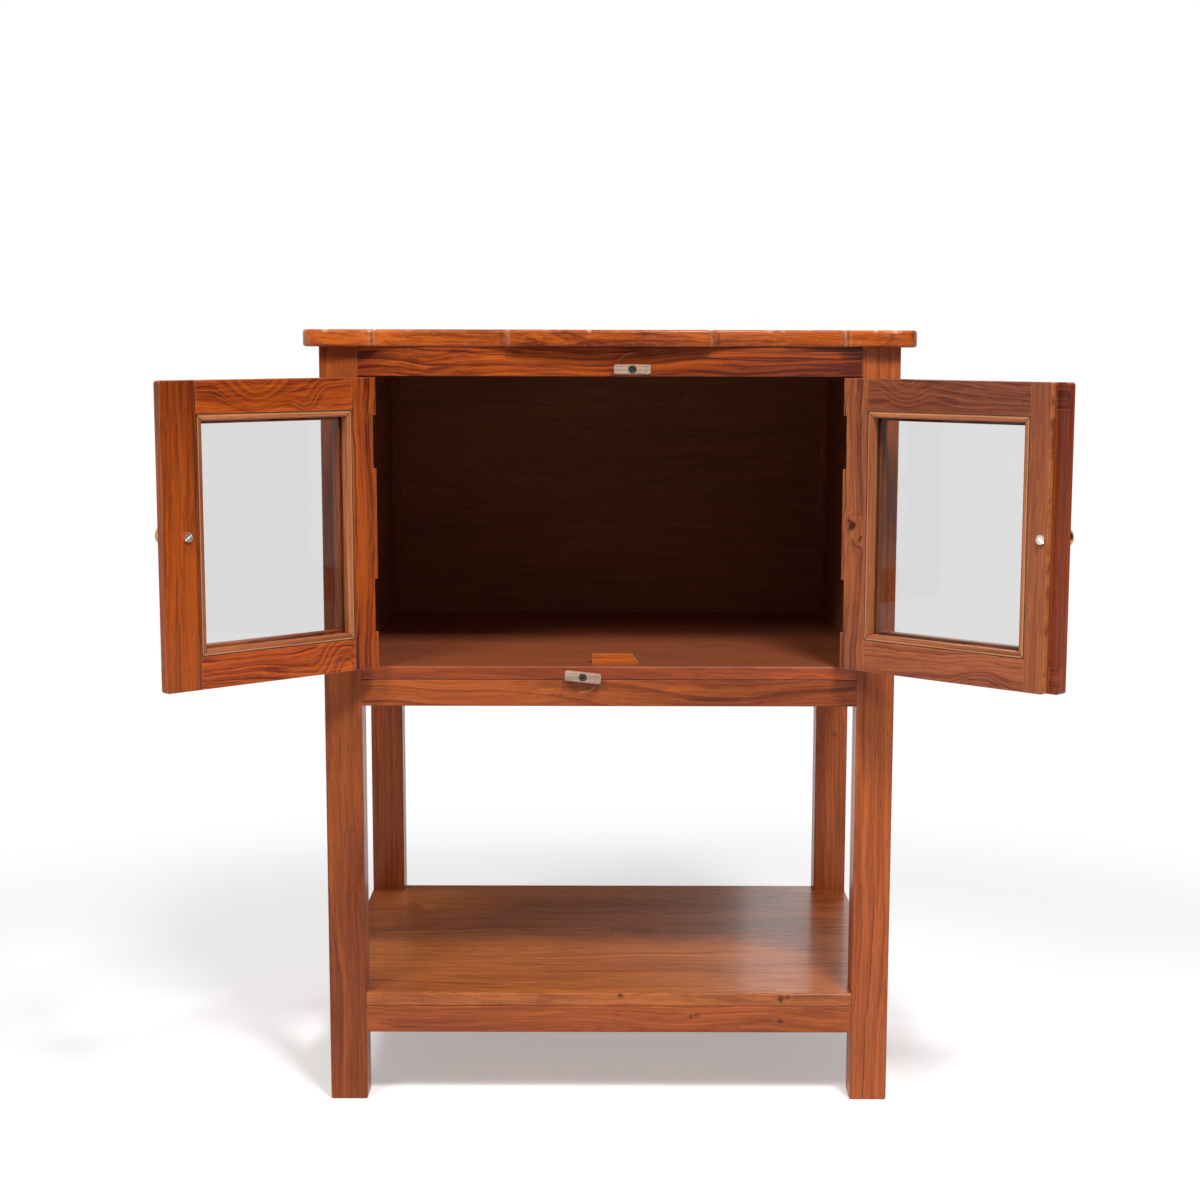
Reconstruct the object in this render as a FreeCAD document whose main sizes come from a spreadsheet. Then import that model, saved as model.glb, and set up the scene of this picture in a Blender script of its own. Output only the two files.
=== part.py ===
import FreeCAD, Part
import math
import os
import Sketcher
from FreeCAD import Vector

# A small wooden storage cabinet on four square legs: a cupboard with two glazed doors above,
# an open shelf below, and a top board whose front edge is scalloped. The doors close on
# rebated meeting stiles, hang on butt hinges, and are kept shut by two turn buttons.
# The doors are drawn standing open. The origin is on the floor, in the middle of the area
# that the cabinet covers with its doors open. +X is to the right, +Y to the back, +Z up.

doc = FreeCAD.newDocument("storage_cabinet")

# Driving dimensions, in millimetres and degrees

SIZES = [
    ("width", "578", "across the legs' outer faces"),
    ("depth", "490", "from the front of the front legs to the back of the back legs"),
    ("leg_size", "38", "side of a leg's square section"),
    ("leg_round", "1.5", "rounding of a leg's long arrises"),
    ("foot_chamfer", "1.5", "chamfer under a foot"),
    ("datum_behind_front", "152", "how far the origin lies behind the legs' front plane"),
    ("foot_height", "72", "floor to the shelf rails"),
    ("shelf_rail_height", "28", "height of the rails under the shelf"),
    ("board_thickness", "14", "thickness of the shelf and of the cupboard floor"),
    ("shelf_space", "301", "open height between the shelf and the lower rails"),
    ("lower_rail_height", "27", "height of the rails under the cupboard floor"),
    ("door_opening", "291", "height of the cupboard's opening"),
    ("top_rail_height", "29", "height of the rails under the top board"),
    ("top_thickness", "17", "thickness of the top board"),
    ("top_side_overhang", "16", "top board beyond the legs at each side"),
    ("top_front_overhang", "14", "top board beyond the legs at the front of its lobes"),
    ("top_back_overhang", "10", "top board beyond the legs at the back"),
    ("top_corner_round", "20", "plan radius of the top board's front corners"),
    ("top_back_round", "6", "plan radius of the top board's back corners"),
    ("top_edge_chamfer", "2.5", "chamfer of the top board's edges"),
    ("centre_lobe_share", "0.328", "half the centre lobe, as a share of half the top board"),
    ("corner_lobe_share", "0.761", "start of a corner lobe, as a share of half the top board"),
    ("cusp_setback", "5", "cusps behind the front of the lobes"),
    ("cove_radius", "5", "radius of the small cove beside each cusp"),
    ("hollow_depth", "3", "depth of the hollow between two coves"),
    ("rail_thickness", "20", "thickness of the plain rails"),
    ("rail_setback", "1", "rails' outer faces behind the legs' outer faces"),
    ("rail_round", "1", "rounding of the rails' outer arrises"),
    ("tenon_thickness", "8", "thickness of the rails' tenons"),
    ("tenon_length", "16", "length of the rails' tenons"),
    ("tenon_shoulder", "3", "shoulder above and below the rails' tenons"),
    ("board_setback", "0.7", "boards' front edges behind the legs' front plane"),
    ("board_back_setback", "14", "boards' back edges in front of the legs' back plane"),
    ("board_round", "2", "rounding of the boards' front arrises"),
    ("side_panel_thickness", "12", "thickness of a side panel"),
    ("side_panel_recess", "8", "side panels behind the legs' inner faces"),
    ("back_panel_thickness", "10", "thickness of the back panel"),
    ("back_panel_recess", "12", "back panel behind the back legs' front faces"),
    ("groove_depth", "6", "depth of the panels' grooves"),
    ("stop_left", "17.5", "door stop's left end, left of the middle"),
    ("stop_length", "47.7", "length of the door stop"),
    ("stop_height", "9.3", "height of the door stop"),
    ("stop_depth", "12", "depth of the door stop"),
    ("stop_bevel", "6.8", "run of the bevel at the door stop's right end"),
    ("stop_gap", "1", "closed doors to the door stop"),
    ("door_open_angle", "135", "angle by which the doors stand open"),
    ("door_thickness", "20", "thickness of a door"),
    ("door_setback", "1.5", "closed doors' fronts behind the legs' front plane"),
    ("door_gap", "1", "clear height above and below a door"),
    ("hinge_gap", "1", "clear width between a leg and the door's hinge edge"),
    ("meeting_gap", "1.5", "clear width between the tongue and the rebate's wall"),
    ("meeting_offset", "4.75", "meeting line right of the middle"),
    ("tongue_width", "11", "width of the tongue on the left door's meeting stile"),
    ("tongue_thickness", "8.1", "thickness of that tongue"),
    ("lip_gap", "1.1", "clear width between the right door's lip and the left door"),
    ("rebate_gap", "0.4", "clear depth between the lip and the tongue"),
    ("hinge_stile_width", "30", "hinge stile's inner face, up to the bead"),
    ("left_stile_width", "40", "left meeting stile's inner face, up to the bead"),
    ("right_stile_width", "23", "right meeting stile's inner face, up to the bead"),
    ("door_rail_width", "31", "door rails' inner faces, up to the bead"),
    ("door_tenon_thickness", "6", "thickness of the door rails' through tenons"),
    ("door_tenon_height", "18", "height of the through tenons"),
    ("door_tenon_slack", "1", "slack behind the tenons in their mortises"),
    ("door_corner_round", "3", "rounding of a door's free corners"),
    ("bead_width", "6.5", "width of a glazing bead"),
    ("bead_depth", "8", "depth of a glazing bead"),
    ("bead_round", "1.5", "rounding of a bead's free arris"),
    ("bead_gap", "0.3", "gap at the beads' mitres"),
    ("lip_reveal", "3", "front lip seen beyond the bead"),
    ("glass_thickness", "3", "thickness of the glass"),
    ("glass_clearance", "1", "clearance round the glass in its rebate"),
    ("hinge_length", "50.8", "length of a butt hinge"),
    ("hinge_from_end", "63", "hinge's middle from the door's end"),
    ("notch_clearance", "1.1", "notch beyond each end of a hinge"),
    ("knuckle_radius", "2.4", "outer radius of a knuckle"),
    ("knuckle_gap", "0.3", "gap between two knuckles"),
    ("barrel_clearance", "0.3", "closed door's front to the barrel"),
    ("leaf_thickness", "1.2", "thickness of a hinge leaf"),
    ("leaf_width", "17", "pin's axis to a leaf's edge"),
    ("pin_radius", "1.2", "radius of a hinge pin"),
    ("pin_clearance", "0.05", "running clearance round a hinge pin"),
    ("hinge_screw_head", "2.8", "radius of a hinge screw's head"),
    ("hinge_screw_shank", "1.4", "radius of a hinge screw's shank"),
    ("hinge_screw_length", "12", "length of a hinge screw"),
    ("hinge_screw_reach", "10.5", "pin's axis to the screws"),
    ("hinge_screw_spread", "34", "between the two screws of a leaf"),
    ("head_clearance", "0.1", "clearance round a hinge screw's head"),
    ("knob_radius", "11", "radius of a knob's ball"),
    ("knob_reach", "25", "knob's end from the door's front"),
    ("knob_neck", "4.5", "radius of a knob's neck"),
    ("knob_foot", "6.5", "radius of a knob's foot"),
    ("knob_foot_height", "1.6", "height of the foot's edge"),
    ("knob_bore_depth", "10", "depth of a knob's bore"),
    ("knob_screw_radius", "2", "radius of a knob's machine screw"),
    ("knob_screw_clearance", "0.05", "clearance round that screw in the knob"),
    ("knob_hole_clearance", "0.3", "clearance round that screw in the stile"),
    ("knob_screw_grip", "8", "length of that screw inside the knob"),
    ("knob_head_radius", "4.5", "radius of that screw's head"),
    ("knob_head_height", "2.4", "height of that screw's head"),
    ("knob_head_bevel", "1", "bevel round that head"),
    ("knob_head_slot", "1", "width and depth of that head's slot"),
    ("left_knob_inset", "16.5", "left knob from the left door's front edge"),
    ("right_knob_inset", "18.7", "right knob from the right door's front edge"),
    ("button_length", "37", "length of a turn button"),
    ("button_height", "10", "width of a turn button's face"),
    ("button_depth", "8", "thickness of a turn button"),
    ("button_round", "2", "rounding of a turn button's corners"),
    ("button_edge", "0.8", "chamfer of a turn button's front edge"),
    ("button_gap", "0.3", "turn button's back to the wood behind it"),
    ("button_mark_inset", "4", "scored line from a turn button's end"),
    ("button_mark_width", "1", "width and depth of the scored line"),
    ("button_screw_head", "4", "radius of a turn button's screw head"),
    ("button_head_height", "2", "height of that screw's head"),
    ("button_screw_shank", "1.75", "radius of that screw's shank"),
    ("button_screw_length", "20", "length of that screw"),
    ("button_screw_slot", "1", "width and depth of that screw's slot"),
    ("button_recess", "2.5", "screw head behind the button's front"),
    ("button_play", "0.1", "running clearance round that screw's shank"),
    ("button_head_clearance", "0.3", "clearance round that screw's head"),
    ("top_button_x", "22.3", "upper turn button right of the middle"),
    ("top_button_rise", "7", "upper turn button above the cupboard's opening"),
    ("bottom_button_x", "26.8", "lower turn button left of the middle"),
    ("bottom_button_rise", "3.4", "lower turn button above the floor board's underside"),
    ("bottom_button_tilt", "6.5", "tilt of the lower turn button"),
    ("overrun", "5", "how far a cutting solid runs past what it cuts"),
]

# Places and sizes that follow from the driving dimensions

PLACES = [
    ("half_width", "dims.width / 2"),
    ("inner", "at.half_width - dims.leg_size"),
    ("front", "-dims.datum_behind_front"),
    ("back", "at.front + dims.depth"),
    ("middle_y", "at.front + dims.depth / 2"),
    ("leg_back", "at.front + dims.leg_size"),
    ("back_leg_front", "at.back - dims.leg_size"),
    ("shelf_low", "dims.foot_height + dims.shelf_rail_height"),
    ("shelf_top", "at.shelf_low + dims.board_thickness"),
    ("lower_rail_low", "at.shelf_top + dims.shelf_space"),
    ("floor_low", "at.lower_rail_low + dims.lower_rail_height"),
    ("floor_top", "at.floor_low + dims.board_thickness"),
    ("top_rail_low", "at.floor_top + dims.door_opening"),
    ("top_low", "at.top_rail_low + dims.top_rail_height"),
    ("top_end", "at.half_width + dims.top_side_overhang"),
    ("centre_cusp", "dims.centre_lobe_share * at.top_end"),
    ("corner_cusp", "dims.corner_lobe_share * at.top_end"),
    ("hollow_half", "(at.corner_cusp - at.centre_cusp) / 2 - dims.cove_radius"),
    ("hollow_reach", "dims.cove_radius + dims.hollow_depth"),
    ("hollow_squares", "at.hollow_half ^ 2 + at.hollow_reach ^ 2 - dims.cove_radius ^ 2"),
    ("hollow_radius", "at.hollow_squares / (2 * dims.hollow_depth)"),
    ("cove_scale", "dims.cove_radius / (at.hollow_radius - dims.cove_radius)"),
    ("cove_run", "dims.cove_radius - at.cove_scale * at.hollow_half"),
    ("cove_rise", "at.cove_scale * (at.hollow_radius - at.hollow_reach)"),
    ("tenon_near", "(dims.rail_thickness - dims.tenon_thickness) / 2"),
    ("side_rail_thickness", "dims.leg_size - dims.rail_setback - dims.side_panel_recess"),
    ("back_rail_thickness", "dims.leg_size - dims.rail_setback - dims.back_panel_recess"),
    ("side_panel_inner", "at.inner + dims.side_panel_recess"),
    ("back_panel_front", "at.back_leg_front + dims.back_panel_recess"),
    ("pin_x", "at.inner - dims.knuckle_radius"),
    ("pin_forward", "dims.knuckle_radius + dims.barrel_clearance"),
    ("pin_y", "at.front + dims.door_setback - at.pin_forward"),
    ("door_low", "at.floor_top + dims.door_gap"),
    ("door_height", "dims.door_opening - 2 * dims.door_gap"),
    ("half_opening", "at.inner - dims.hinge_gap - dims.meeting_gap / 2"),
    ("door_edge", "dims.hinge_gap - dims.knuckle_radius"),
    ("left_end", "at.door_edge + at.half_opening + dims.meeting_offset"),
    ("left_wall", "at.left_end - dims.tongue_width"),
    ("right_wall", "at.door_edge + at.half_opening - dims.meeting_offset"),
    ("right_end", "at.right_wall + dims.tongue_width + dims.meeting_gap - dims.lip_gap"),
    ("door_front", "at.pin_forward"),
    ("door_back", "at.door_front + dims.door_thickness"),
    ("tongue_front", "at.door_back - dims.tongue_thickness"),
    ("lip_back", "at.tongue_front - dims.rebate_gap"),
    ("glass_front", "at.door_back - dims.bead_depth - dims.glass_thickness"),
    ("bead_front", "at.door_back - dims.bead_depth"),
    ("rebate", "dims.bead_width + dims.lip_reveal"),
    ("hinge_sight", "at.door_edge + dims.hinge_stile_width"),
    ("left_sight", "at.left_end - dims.left_stile_width"),
    ("right_sight", "at.right_wall - dims.right_stile_width"),
    ("door_tenon_front", "at.door_front + (dims.door_thickness - dims.door_tenon_thickness) / 2"),
    ("door_tenon_low", "(dims.door_rail_width - dims.door_tenon_height) / 2"),
    ("left_knob", "at.left_wall - dims.left_knob_inset"),
    ("right_knob", "at.right_end - dims.right_knob_inset"),
    ("half_hinge", "dims.hinge_length / 2"),
    ("knob_start", "asin(dims.knob_neck / dims.knob_radius)"),
]


def fill_sheet(name, rows, prefix):
    """Make a spreadsheet with one named cell a row."""
    sheet = doc.addObject("Spreadsheet::Sheet", name)
    for number, row in enumerate(rows, start=1):
        sheet.set(f"A{number}", row[0])
        sheet.set(f"B{number}", prefix + row[1])
        sheet.set(f"C{number}", row[2] if len(row) > 2 else "")
        sheet.setAlias(f"B{number}", row[0])
    doc.recompute()
    return sheet


fill_sheet("dims", SIZES, "")
at = fill_sheet("at", [(name, rule.replace("at.", "")) for name, rule in PLACES], "=")

nodes = {}


def value(expression):
    """Read what an expression comes to."""
    return float(at.evalExpression(expression.replace("at.", "")))


def node(thing, label):
    """Name a finished piece and keep it for the export."""
    thing.Label = label
    nodes[label] = thing
    return thing


# Helpers for solids

def placed(x, y, z, turn="rotation(0; 0; 0)"):
    """An expression for a placement."""
    return f"placement(vector({x}; {y}; {z}); {turn})"


def turned(axis, angle):
    """An expression for a rotation about one axis."""
    vector = {"x": "1; 0; 0", "y": "0; 1; 0", "z": "0; 0; 1"}[axis]
    return f"rotation(vector({vector}); {angle})"


def on_side(side, near, far):
    """Turn two distances from the middle into low and high ends, on one side of it."""
    return (near, far) if side > 0 else (f"-({far})", f"-({near})")


def block(name, x, y, z):
    """A box between three pairs of low and high ends."""
    box = doc.addObject("Part::Box", name)
    for size, (low, high) in zip(("Length", "Width", "Height"), (x, y, z)):
        box.setExpression(size, f"({high}) - ({low})")
    for axis, (low, high) in zip("xyz", (x, y, z)):
        box.setExpression("Placement.Base." + axis, low)
    return box


def rod(name, radius, length, placement):
    """A round bar along the Z axis of its placement."""
    bar = doc.addObject("Part::Cylinder", name)
    bar.setExpression("Radius", radius)
    bar.setExpression("Height", length)
    bar.setExpression("Placement", placement)
    return bar


def group(name, things):
    """Several solids as one object."""
    together = doc.addObject("Part::Compound", name)
    together.Links = things
    return together


def fuse(name, things):
    """Join solids and clean the joints between their faces."""
    joined = doc.addObject("Part::MultiFuse", name)
    joined.Shapes = things
    joined.Refine = True
    return joined


def cut(name, base, tools):
    """Cut several solids out of one."""
    result = doc.addObject("Part::Cut", name)
    result.Base = base
    result.Tool = group(name + "_tools", tools)
    result.Refine = True
    return result


def edges_where(shape, **planes):
    """Numbers of the edges whose ends lie at the given coordinates."""
    found = []
    for number, edge in enumerate(shape.Edges, start=1):
        ends = [vertex.Point for vertex in edge.Vertexes]
        if all(
            len({round(getattr(end, axis), 3) for end in ends}) == 1
            and round(getattr(ends[0], axis), 3) in {round(level, 3) for level in levels}
            for axis, levels in planes.items()
        ):
            found.append(number)
    return found


# Helpers for bodies

def new_body(name):
    """A body for features made from sketches."""
    return doc.addObject("PartDesign::Body", name)


def new_sketch(body, name, plane="XY_Plane", offset="0"):
    """A sketch on one of the body's own planes, or moved along that plane's normal."""
    sketch = body.newObject("Sketcher::SketchObject", f"{body.Name}_{name}")
    base = [feature for feature in body.Origin.OriginFeatures if feature.Role == plane]
    sketch.AttachmentSupport = (base[0], "")
    sketch.MapMode = "FlatFace"
    sketch.setExpression("AttachmentOffset.Base.z", offset)
    return sketch


def hold(sketch, kind, where, rule):
    """Add a dimension that follows an expression."""
    number = sketch.addConstraint(Sketcher.Constraint(kind, *where, value(rule)))
    sketch.setExpression(f"Constraints[{number}]", rule)


def outline(sketch, corners, arcs=None):
    """Draw a closed outline through corners; arcs maps a corner to a radius and a side."""
    arcs = arcs or {}
    points = [Vector(value(x), value(y), 0) for x, y in corners]
    ends = []
    for number, start in enumerate(points):
        finish = points[(number + 1) % len(points)]
        edge = Part.LineSegment(start, finish)
        if number in arcs:
            rule, side = arcs[number]
            radius = value(rule)
            half = (finish - start) / 2
            rise = radius - math.sqrt(max(radius ** 2 - half.Length ** 2, 0))
            normal = Vector(-half.y, half.x, 0).normalize() * side
            edge = Part.Arc(start, start + half + normal * rise, finish)
        geometry = sketch.addGeometry(edge, False)
        reach = [sketch.getPoint(geometry, end).distanceToPoint(start) for end in (1, 2)]
        ends.append((geometry, 1, 2) if reach[0] < reach[1] else (geometry, 2, 1))
    for number, (geometry, _, last) in enumerate(ends):
        following, first, _ = ends[(number + 1) % len(ends)]
        sketch.addConstraint(Sketcher.Constraint("Coincident", geometry, last, following, first))
    for number, (geometry, first, _) in enumerate(ends):
        hold(sketch, "DistanceX", (geometry, first), corners[number][0])
        hold(sketch, "DistanceY", (geometry, first), corners[number][1])
        if number in arcs:
            hold(sketch, "Radius", (geometry,), arcs[number][0])
    return sketch


def rectangle(sketch, x, y):
    """Draw a rectangle between two pairs of low and high ends."""
    return outline(sketch, [(x[0], y[0]), (x[1], y[0]), (x[1], y[1]), (x[0], y[1])])


def circle(sketch, radius):
    """Draw a circle about the sketch's origin."""
    geometry = sketch.addGeometry(Part.Circle(Vector(), Vector(0, 0, 1), value(radius)), False)
    sketch.addConstraint(Sketcher.Constraint("Coincident", geometry, 3, -1, 1))
    hold(sketch, "Radius", (geometry,), radius)
    return sketch


def extrude(body, kind, sketch, length, backwards=False, both_ways=False):
    """Pad or pocket a sketch, and check that the solid has really changed."""
    before = body.Shape.Volume if body.Tip else 0
    feature = body.newObject("PartDesign::" + kind, f"{sketch.Name}_{kind.lower()}")
    feature.Profile = sketch
    feature.setExpression("Length", length)
    feature.Reversed = backwards
    if both_ways:
        feature.SideType = "Symmetric"
    return finish_feature(body, feature, before, kind == "Pocket")


def spin(body, kind, sketch, axis="V_Axis"):
    """Turn a sketch into a Revolution or Groove about one of its axes."""
    before = body.Shape.Volume if body.Tip else 0
    feature = body.newObject("PartDesign::" + kind, f"{sketch.Name}_{kind.lower()}")
    feature.Profile = sketch
    feature.ReferenceAxis = (sketch, [axis])
    return finish_feature(body, feature, before, kind == "Groove")


def finish_feature(body, feature, before, removes):
    """Recompute a feature and compare the volume with what it was."""
    body.Tip = feature
    doc.recompute()
    gained = feature.Shape.Volume - before
    if gained == 0 or (gained < 0) != removes:
        raise RuntimeError(f"{feature.Name} changes nothing, or the wrong way")
    return feature


def soften(body, kind, size, **planes):
    """Fillet or chamfer the edges that lie at the given coordinates."""
    base = body.Tip
    feature = body.newObject("PartDesign::" + kind, f"{body.Name}_{kind.lower()}")
    numbers = edges_where(base.Shape, **planes)
    if not numbers:
        raise RuntimeError(f"{feature.Name} finds no edge")
    feature.Base = (base, [f"Edge{number}" for number in numbers])
    feature.setExpression("Radius" if kind == "Fillet" else "Size", size)
    body.Tip = feature
    doc.recompute()
    return feature


# Top board: one plank, scalloped along the front, its edges eased above and below.
# Each hollow is one long arc that runs smoothly into the small cove beside each cusp.

def top_board():
    end = "at.top_end"
    lobe = "at.front - dims.top_front_overhang"
    cusp = f"{lobe} + dims.cusp_setback"
    cove = f"{cusp} + at.cove_rise"
    back = "at.back + dims.top_back_overhang"
    corner = f"{end} - dims.top_corner_round"
    centre_arc = "(at.centre_cusp ^ 2 + dims.cusp_setback ^ 2) / (2 * dims.cusp_setback)"
    run = f"({corner} - at.corner_cusp)"
    corner_arc = f"({run} ^ 2 + dims.cusp_setback ^ 2) / (2 * dims.cusp_setback)"
    right = [
        ("at.centre_cusp", cusp),
        ("at.centre_cusp + at.cove_run", cove),
        ("at.corner_cusp - at.cove_run", cove),
        ("at.corner_cusp", cusp),
        (corner, lobe),
        (end, f"{lobe} + dims.top_corner_round"),
        (end, f"{back} - dims.top_back_round"),
        (f"{end} - dims.top_back_round", back),
    ]
    left = [(f"-({x})", y) for x, y in reversed(right)]
    arcs = {
        0: ("dims.cove_radius", 1),
        1: ("at.hollow_radius", 1),
        2: ("dims.cove_radius", 1),
        3: (corner_arc, -1),
        4: ("dims.top_corner_round", -1),
        6: ("dims.top_back_round", -1),
        8: ("dims.top_back_round", -1),
        10: ("dims.top_corner_round", -1),
        11: (corner_arc, -1),
        12: ("dims.cove_radius", 1),
        13: ("at.hollow_radius", 1),
        14: ("dims.cove_radius", 1),
        15: (centre_arc, -1),
    }
    body = new_body("top_board")
    plan = outline(new_sketch(body, "plan", offset="at.top_low"), right + left, arcs)
    extrude(body, "Pad", plan, "dims.top_thickness")
    upper = value("at.top_low + dims.top_thickness")
    soften(body, "Chamfer", "dims.top_edge_chamfer", z=[value("at.top_low"), upper])
    node(body, "top_board")


# Rails: drawn lying along X with the outer face at y = 0, then turned to their side.
# A tenon at each end is one bar run through the rail.

def rail(label, span, thickness, height, placement):
    body = new_body(label + "_body")
    ends = (f"-({span}) / 2", f"({span}) / 2")
    plan = rectangle(new_sketch(body, "plan"), ends, ("0", thickness))
    extrude(body, "Pad", plan, height)
    soften(body, "Fillet", "dims.rail_round", y=[0], z=[0, value(height)])
    tenon_ends = (f"{ends[0]} - dims.tenon_length", f"{ends[1]} + dims.tenon_length")
    tenon = new_sketch(body, "tenons", offset="dims.tenon_shoulder")
    rectangle(tenon, tenon_ends, ("at.tenon_near", "at.tenon_near + dims.tenon_thickness"))
    extrude(body, "Pad", tenon, f"{height} - 2 * dims.tenon_shoulder")
    body.setExpression("Placement", placement)
    return body


def rails(panels):
    levels = {
        "shelf": ("dims.foot_height", "dims.shelf_rail_height"),
        "lower": ("at.lower_rail_low", "dims.lower_rail_height"),
        "top": ("at.top_rail_low", "dims.top_rail_height"),
    }
    outer = "at.half_width - dims.rail_setback"
    for level, (low, height) in levels.items():
        sides = {
            "front": ("0", "at.front + dims.rail_setback", 0, "2 * at.inner"),
            "back": ("0", "at.back - dims.rail_setback", 180, "2 * at.inner"),
            "left": (f"-({outer})", "at.middle_y", -90, "dims.depth - 2 * dims.leg_size"),
            "right": (outer, "at.middle_y", 90, "dims.depth - 2 * dims.leg_size"),
        }
        for side, (x, y, turn, span) in sides.items():
            thickness = "dims.rail_thickness"
            if level == "top" and side == "back":
                thickness = "at.back_rail_thickness"
            if level == "top" and side in ("left", "right"):
                thickness = "at.side_rail_thickness"
            label = f"{level}_rail_{side}"
            piece = rail(label, span, thickness, height, placed(x, y, low, turned("z", turn)))
            if level == "top" and side in panels:
                piece = cut(label, piece, [panels[side]])
            node(piece, label)


# Panels: plain boards that stand on the cupboard floor, housed in grooves in the legs
# and in a rebate under the top rails

def wall_panels():
    height = ("at.floor_top", "at.top_rail_low + dims.groove_depth")
    length = ("at.leg_back - dims.groove_depth", "at.back_leg_front + dims.groove_depth")
    reach = ("at.side_panel_inner", "at.side_panel_inner + dims.side_panel_thickness")
    found = {}
    for name, side in (("left", -1), ("right", 1)):
        panel = block(f"side_panel_{name}", on_side(side, *reach), length, height)
        found[name] = node(panel, f"side_panel_{name}")
    across = ("-at.inner - dims.groove_depth", "at.inner + dims.groove_depth")
    through = ("at.back_panel_front", "at.back_panel_front + dims.back_panel_thickness")
    found["back"] = node(block("back_panel", across, through, height), "back_panel")
    return found


# Shelf and cupboard floor: boards laid on the rails and notched round the legs

def board(label, low):
    front = "at.front + dims.board_setback"
    back = "at.back - dims.board_back_setback"
    right = [
        ("at.inner", front),
        ("at.inner", "at.leg_back"),
        ("at.half_width", "at.leg_back"),
        ("at.half_width", "at.back_leg_front"),
        ("at.inner", "at.back_leg_front"),
        ("at.inner", back),
    ]
    left = [(f"-{x}", y) for x, y in reversed(right)]
    body = new_body(label)
    extrude(body, "Pad", outline(new_sketch(body, "plan", offset=low), right + left),
            "dims.board_thickness")
    levels = [value(low), value(f"{low} + dims.board_thickness")]
    soften(body, "Fillet", "dims.board_round", y=[value(front)], z=levels)
    node(body, label)


# Legs: square posts with their arrises taken off, mortised for the rails and grooved
# for the panels by the pieces that they receive

def leg(end, side, panels):
    label = f"leg_{end}_{'left' if side < 0 else 'right'}"
    near = ("at.front", "at.leg_back") if end == "front" else ("at.back_leg_front", "at.back")
    body = new_body(label + "_post")
    x = on_side(side, "at.inner", "at.half_width")
    extrude(body, "Pad", rectangle(new_sketch(body, "plan"), x, near), "at.top_low")
    corners = {"x": [value(low) for low in x], "y": [value(low) for low in near]}
    soften(body, "Fillet", "dims.leg_round", x=corners["x"], y=corners["y"])
    soften(body, "Chamfer", "dims.foot_chamfer", z=[0])
    hand = "left" if side < 0 else "right"
    received = [
        nodes[f"{level}_rail_{way}"] for level in ("shelf", "lower", "top") for way in (end, hand)
    ]
    received.append(panels[hand])
    if end == "back":
        received.append(panels["back"])
    node(cut(label, body, received), label)


# Door stop: a small block on the cupboard floor, bevelled at its right end

def door_stop():
    body = new_body("door_stop")
    left = "-dims.stop_left"
    right = f"{left} + dims.stop_length"
    top = "at.floor_top + dims.stop_height"
    face = "at.front + dims.door_setback + dims.door_thickness + dims.stop_gap"
    side = [(left, "at.floor_top"), (right, "at.floor_top"),
            (f"{right} - dims.stop_bevel", top), (left, top)]
    sketch = outline(new_sketch(body, "front", "XZ_Plane", f"-({face})"), side)
    extrude(body, "Pad", sketch, "dims.stop_depth", backwards=True)
    node(body, "door_stop")


# Countersunk screw: its head's flat face at z = 0, its plain shank below. Only the turn
# buttons' larger screws have their slot here.

def countersunk_screw(name, head, head_height, shank, length, placement, slot=None):
    body = new_body(name)
    profile = new_sketch(body, "profile", "XZ_Plane")
    outline(profile, [("0", "0"), (head, "0"), (shank, f"-{head_height}"),
                      (shank, f"-{length}"), ("0", f"-{length}")])
    spin(body, "Revolution", profile)
    if slot:
        across = (f"-{slot} / 2", f"{slot} / 2")
        extrude(body, "Pocket", rectangle(new_sketch(body, "slot"), (f"-{head}", head), across), slot)
    body.setExpression("Placement", placement)
    return body


# Butt hinges: two leaves bent round one pin, five knuckles long. The frame leaf has the
# outer and middle knuckles. Each hinge is drawn about its pin, its middle at z = 0.

KNUCKLES = 5


def hinge_leaf(name, side, own):
    body = new_body(name)
    x = on_side(side, "dims.knuckle_radius - dims.leaf_thickness", "dims.knuckle_radius")
    strap = rectangle(new_sketch(body, "strap"), x, ("0", "dims.leaf_width"))
    extrude(body, "Pad", strap, "dims.hinge_length", both_ways=True)
    barrel = circle(new_sketch(body, "barrel"), "dims.knuckle_radius")
    extrude(body, "Pad", barrel, "dims.hinge_length", both_ways=True)
    bore = circle(new_sketch(body, "bore"), "dims.pin_radius + dims.pin_clearance")
    extrude(body, "Pocket", bore, "2 * dims.hinge_length", both_ways=True)
    pitch = f"(dims.hinge_length + dims.knuckle_gap) / {KNUCKLES}"
    notches = new_sketch(body, "notches", "YZ_Plane")
    across = ("-dims.knuckle_radius - dims.overrun", "dims.knuckle_radius + dims.knuckle_gap")
    for number in range(KNUCKLES):
        if number in own:
            continue
        low = f"{pitch} * {number} - at.half_hinge - dims.knuckle_gap"
        high = f"{pitch} * {number + 1} - at.half_hinge"
        if number == 0:
            low = "-at.half_hinge - dims.overrun"
        if number == KNUCKLES - 1:
            high = "at.half_hinge + dims.overrun"
        rectangle(notches, across, (low, high))
    extrude(body, "Pocket", notches, "4 * dims.knuckle_radius", both_ways=True)
    holes = []
    for way in (-1, 1):
        hole = doc.addObject("Part::Cone", f"{name}_hole_{'upper' if way > 0 else 'lower'}")
        hole.setExpression("Radius1", "dims.hinge_screw_head + dims.head_clearance")
        hole.setExpression("Radius2", "dims.hinge_screw_shank + dims.head_clearance")
        hole.setExpression("Height", "dims.leaf_thickness")
        hole.setExpression("Placement", placed(
            f"{side} * (dims.knuckle_radius - dims.leaf_thickness)", "dims.hinge_screw_reach",
            f"{way} * dims.hinge_screw_spread / 2", turned("y", 90 * side)))
        holes.append(hole)
    return cut(name + "_drilled", body, holes)


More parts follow.
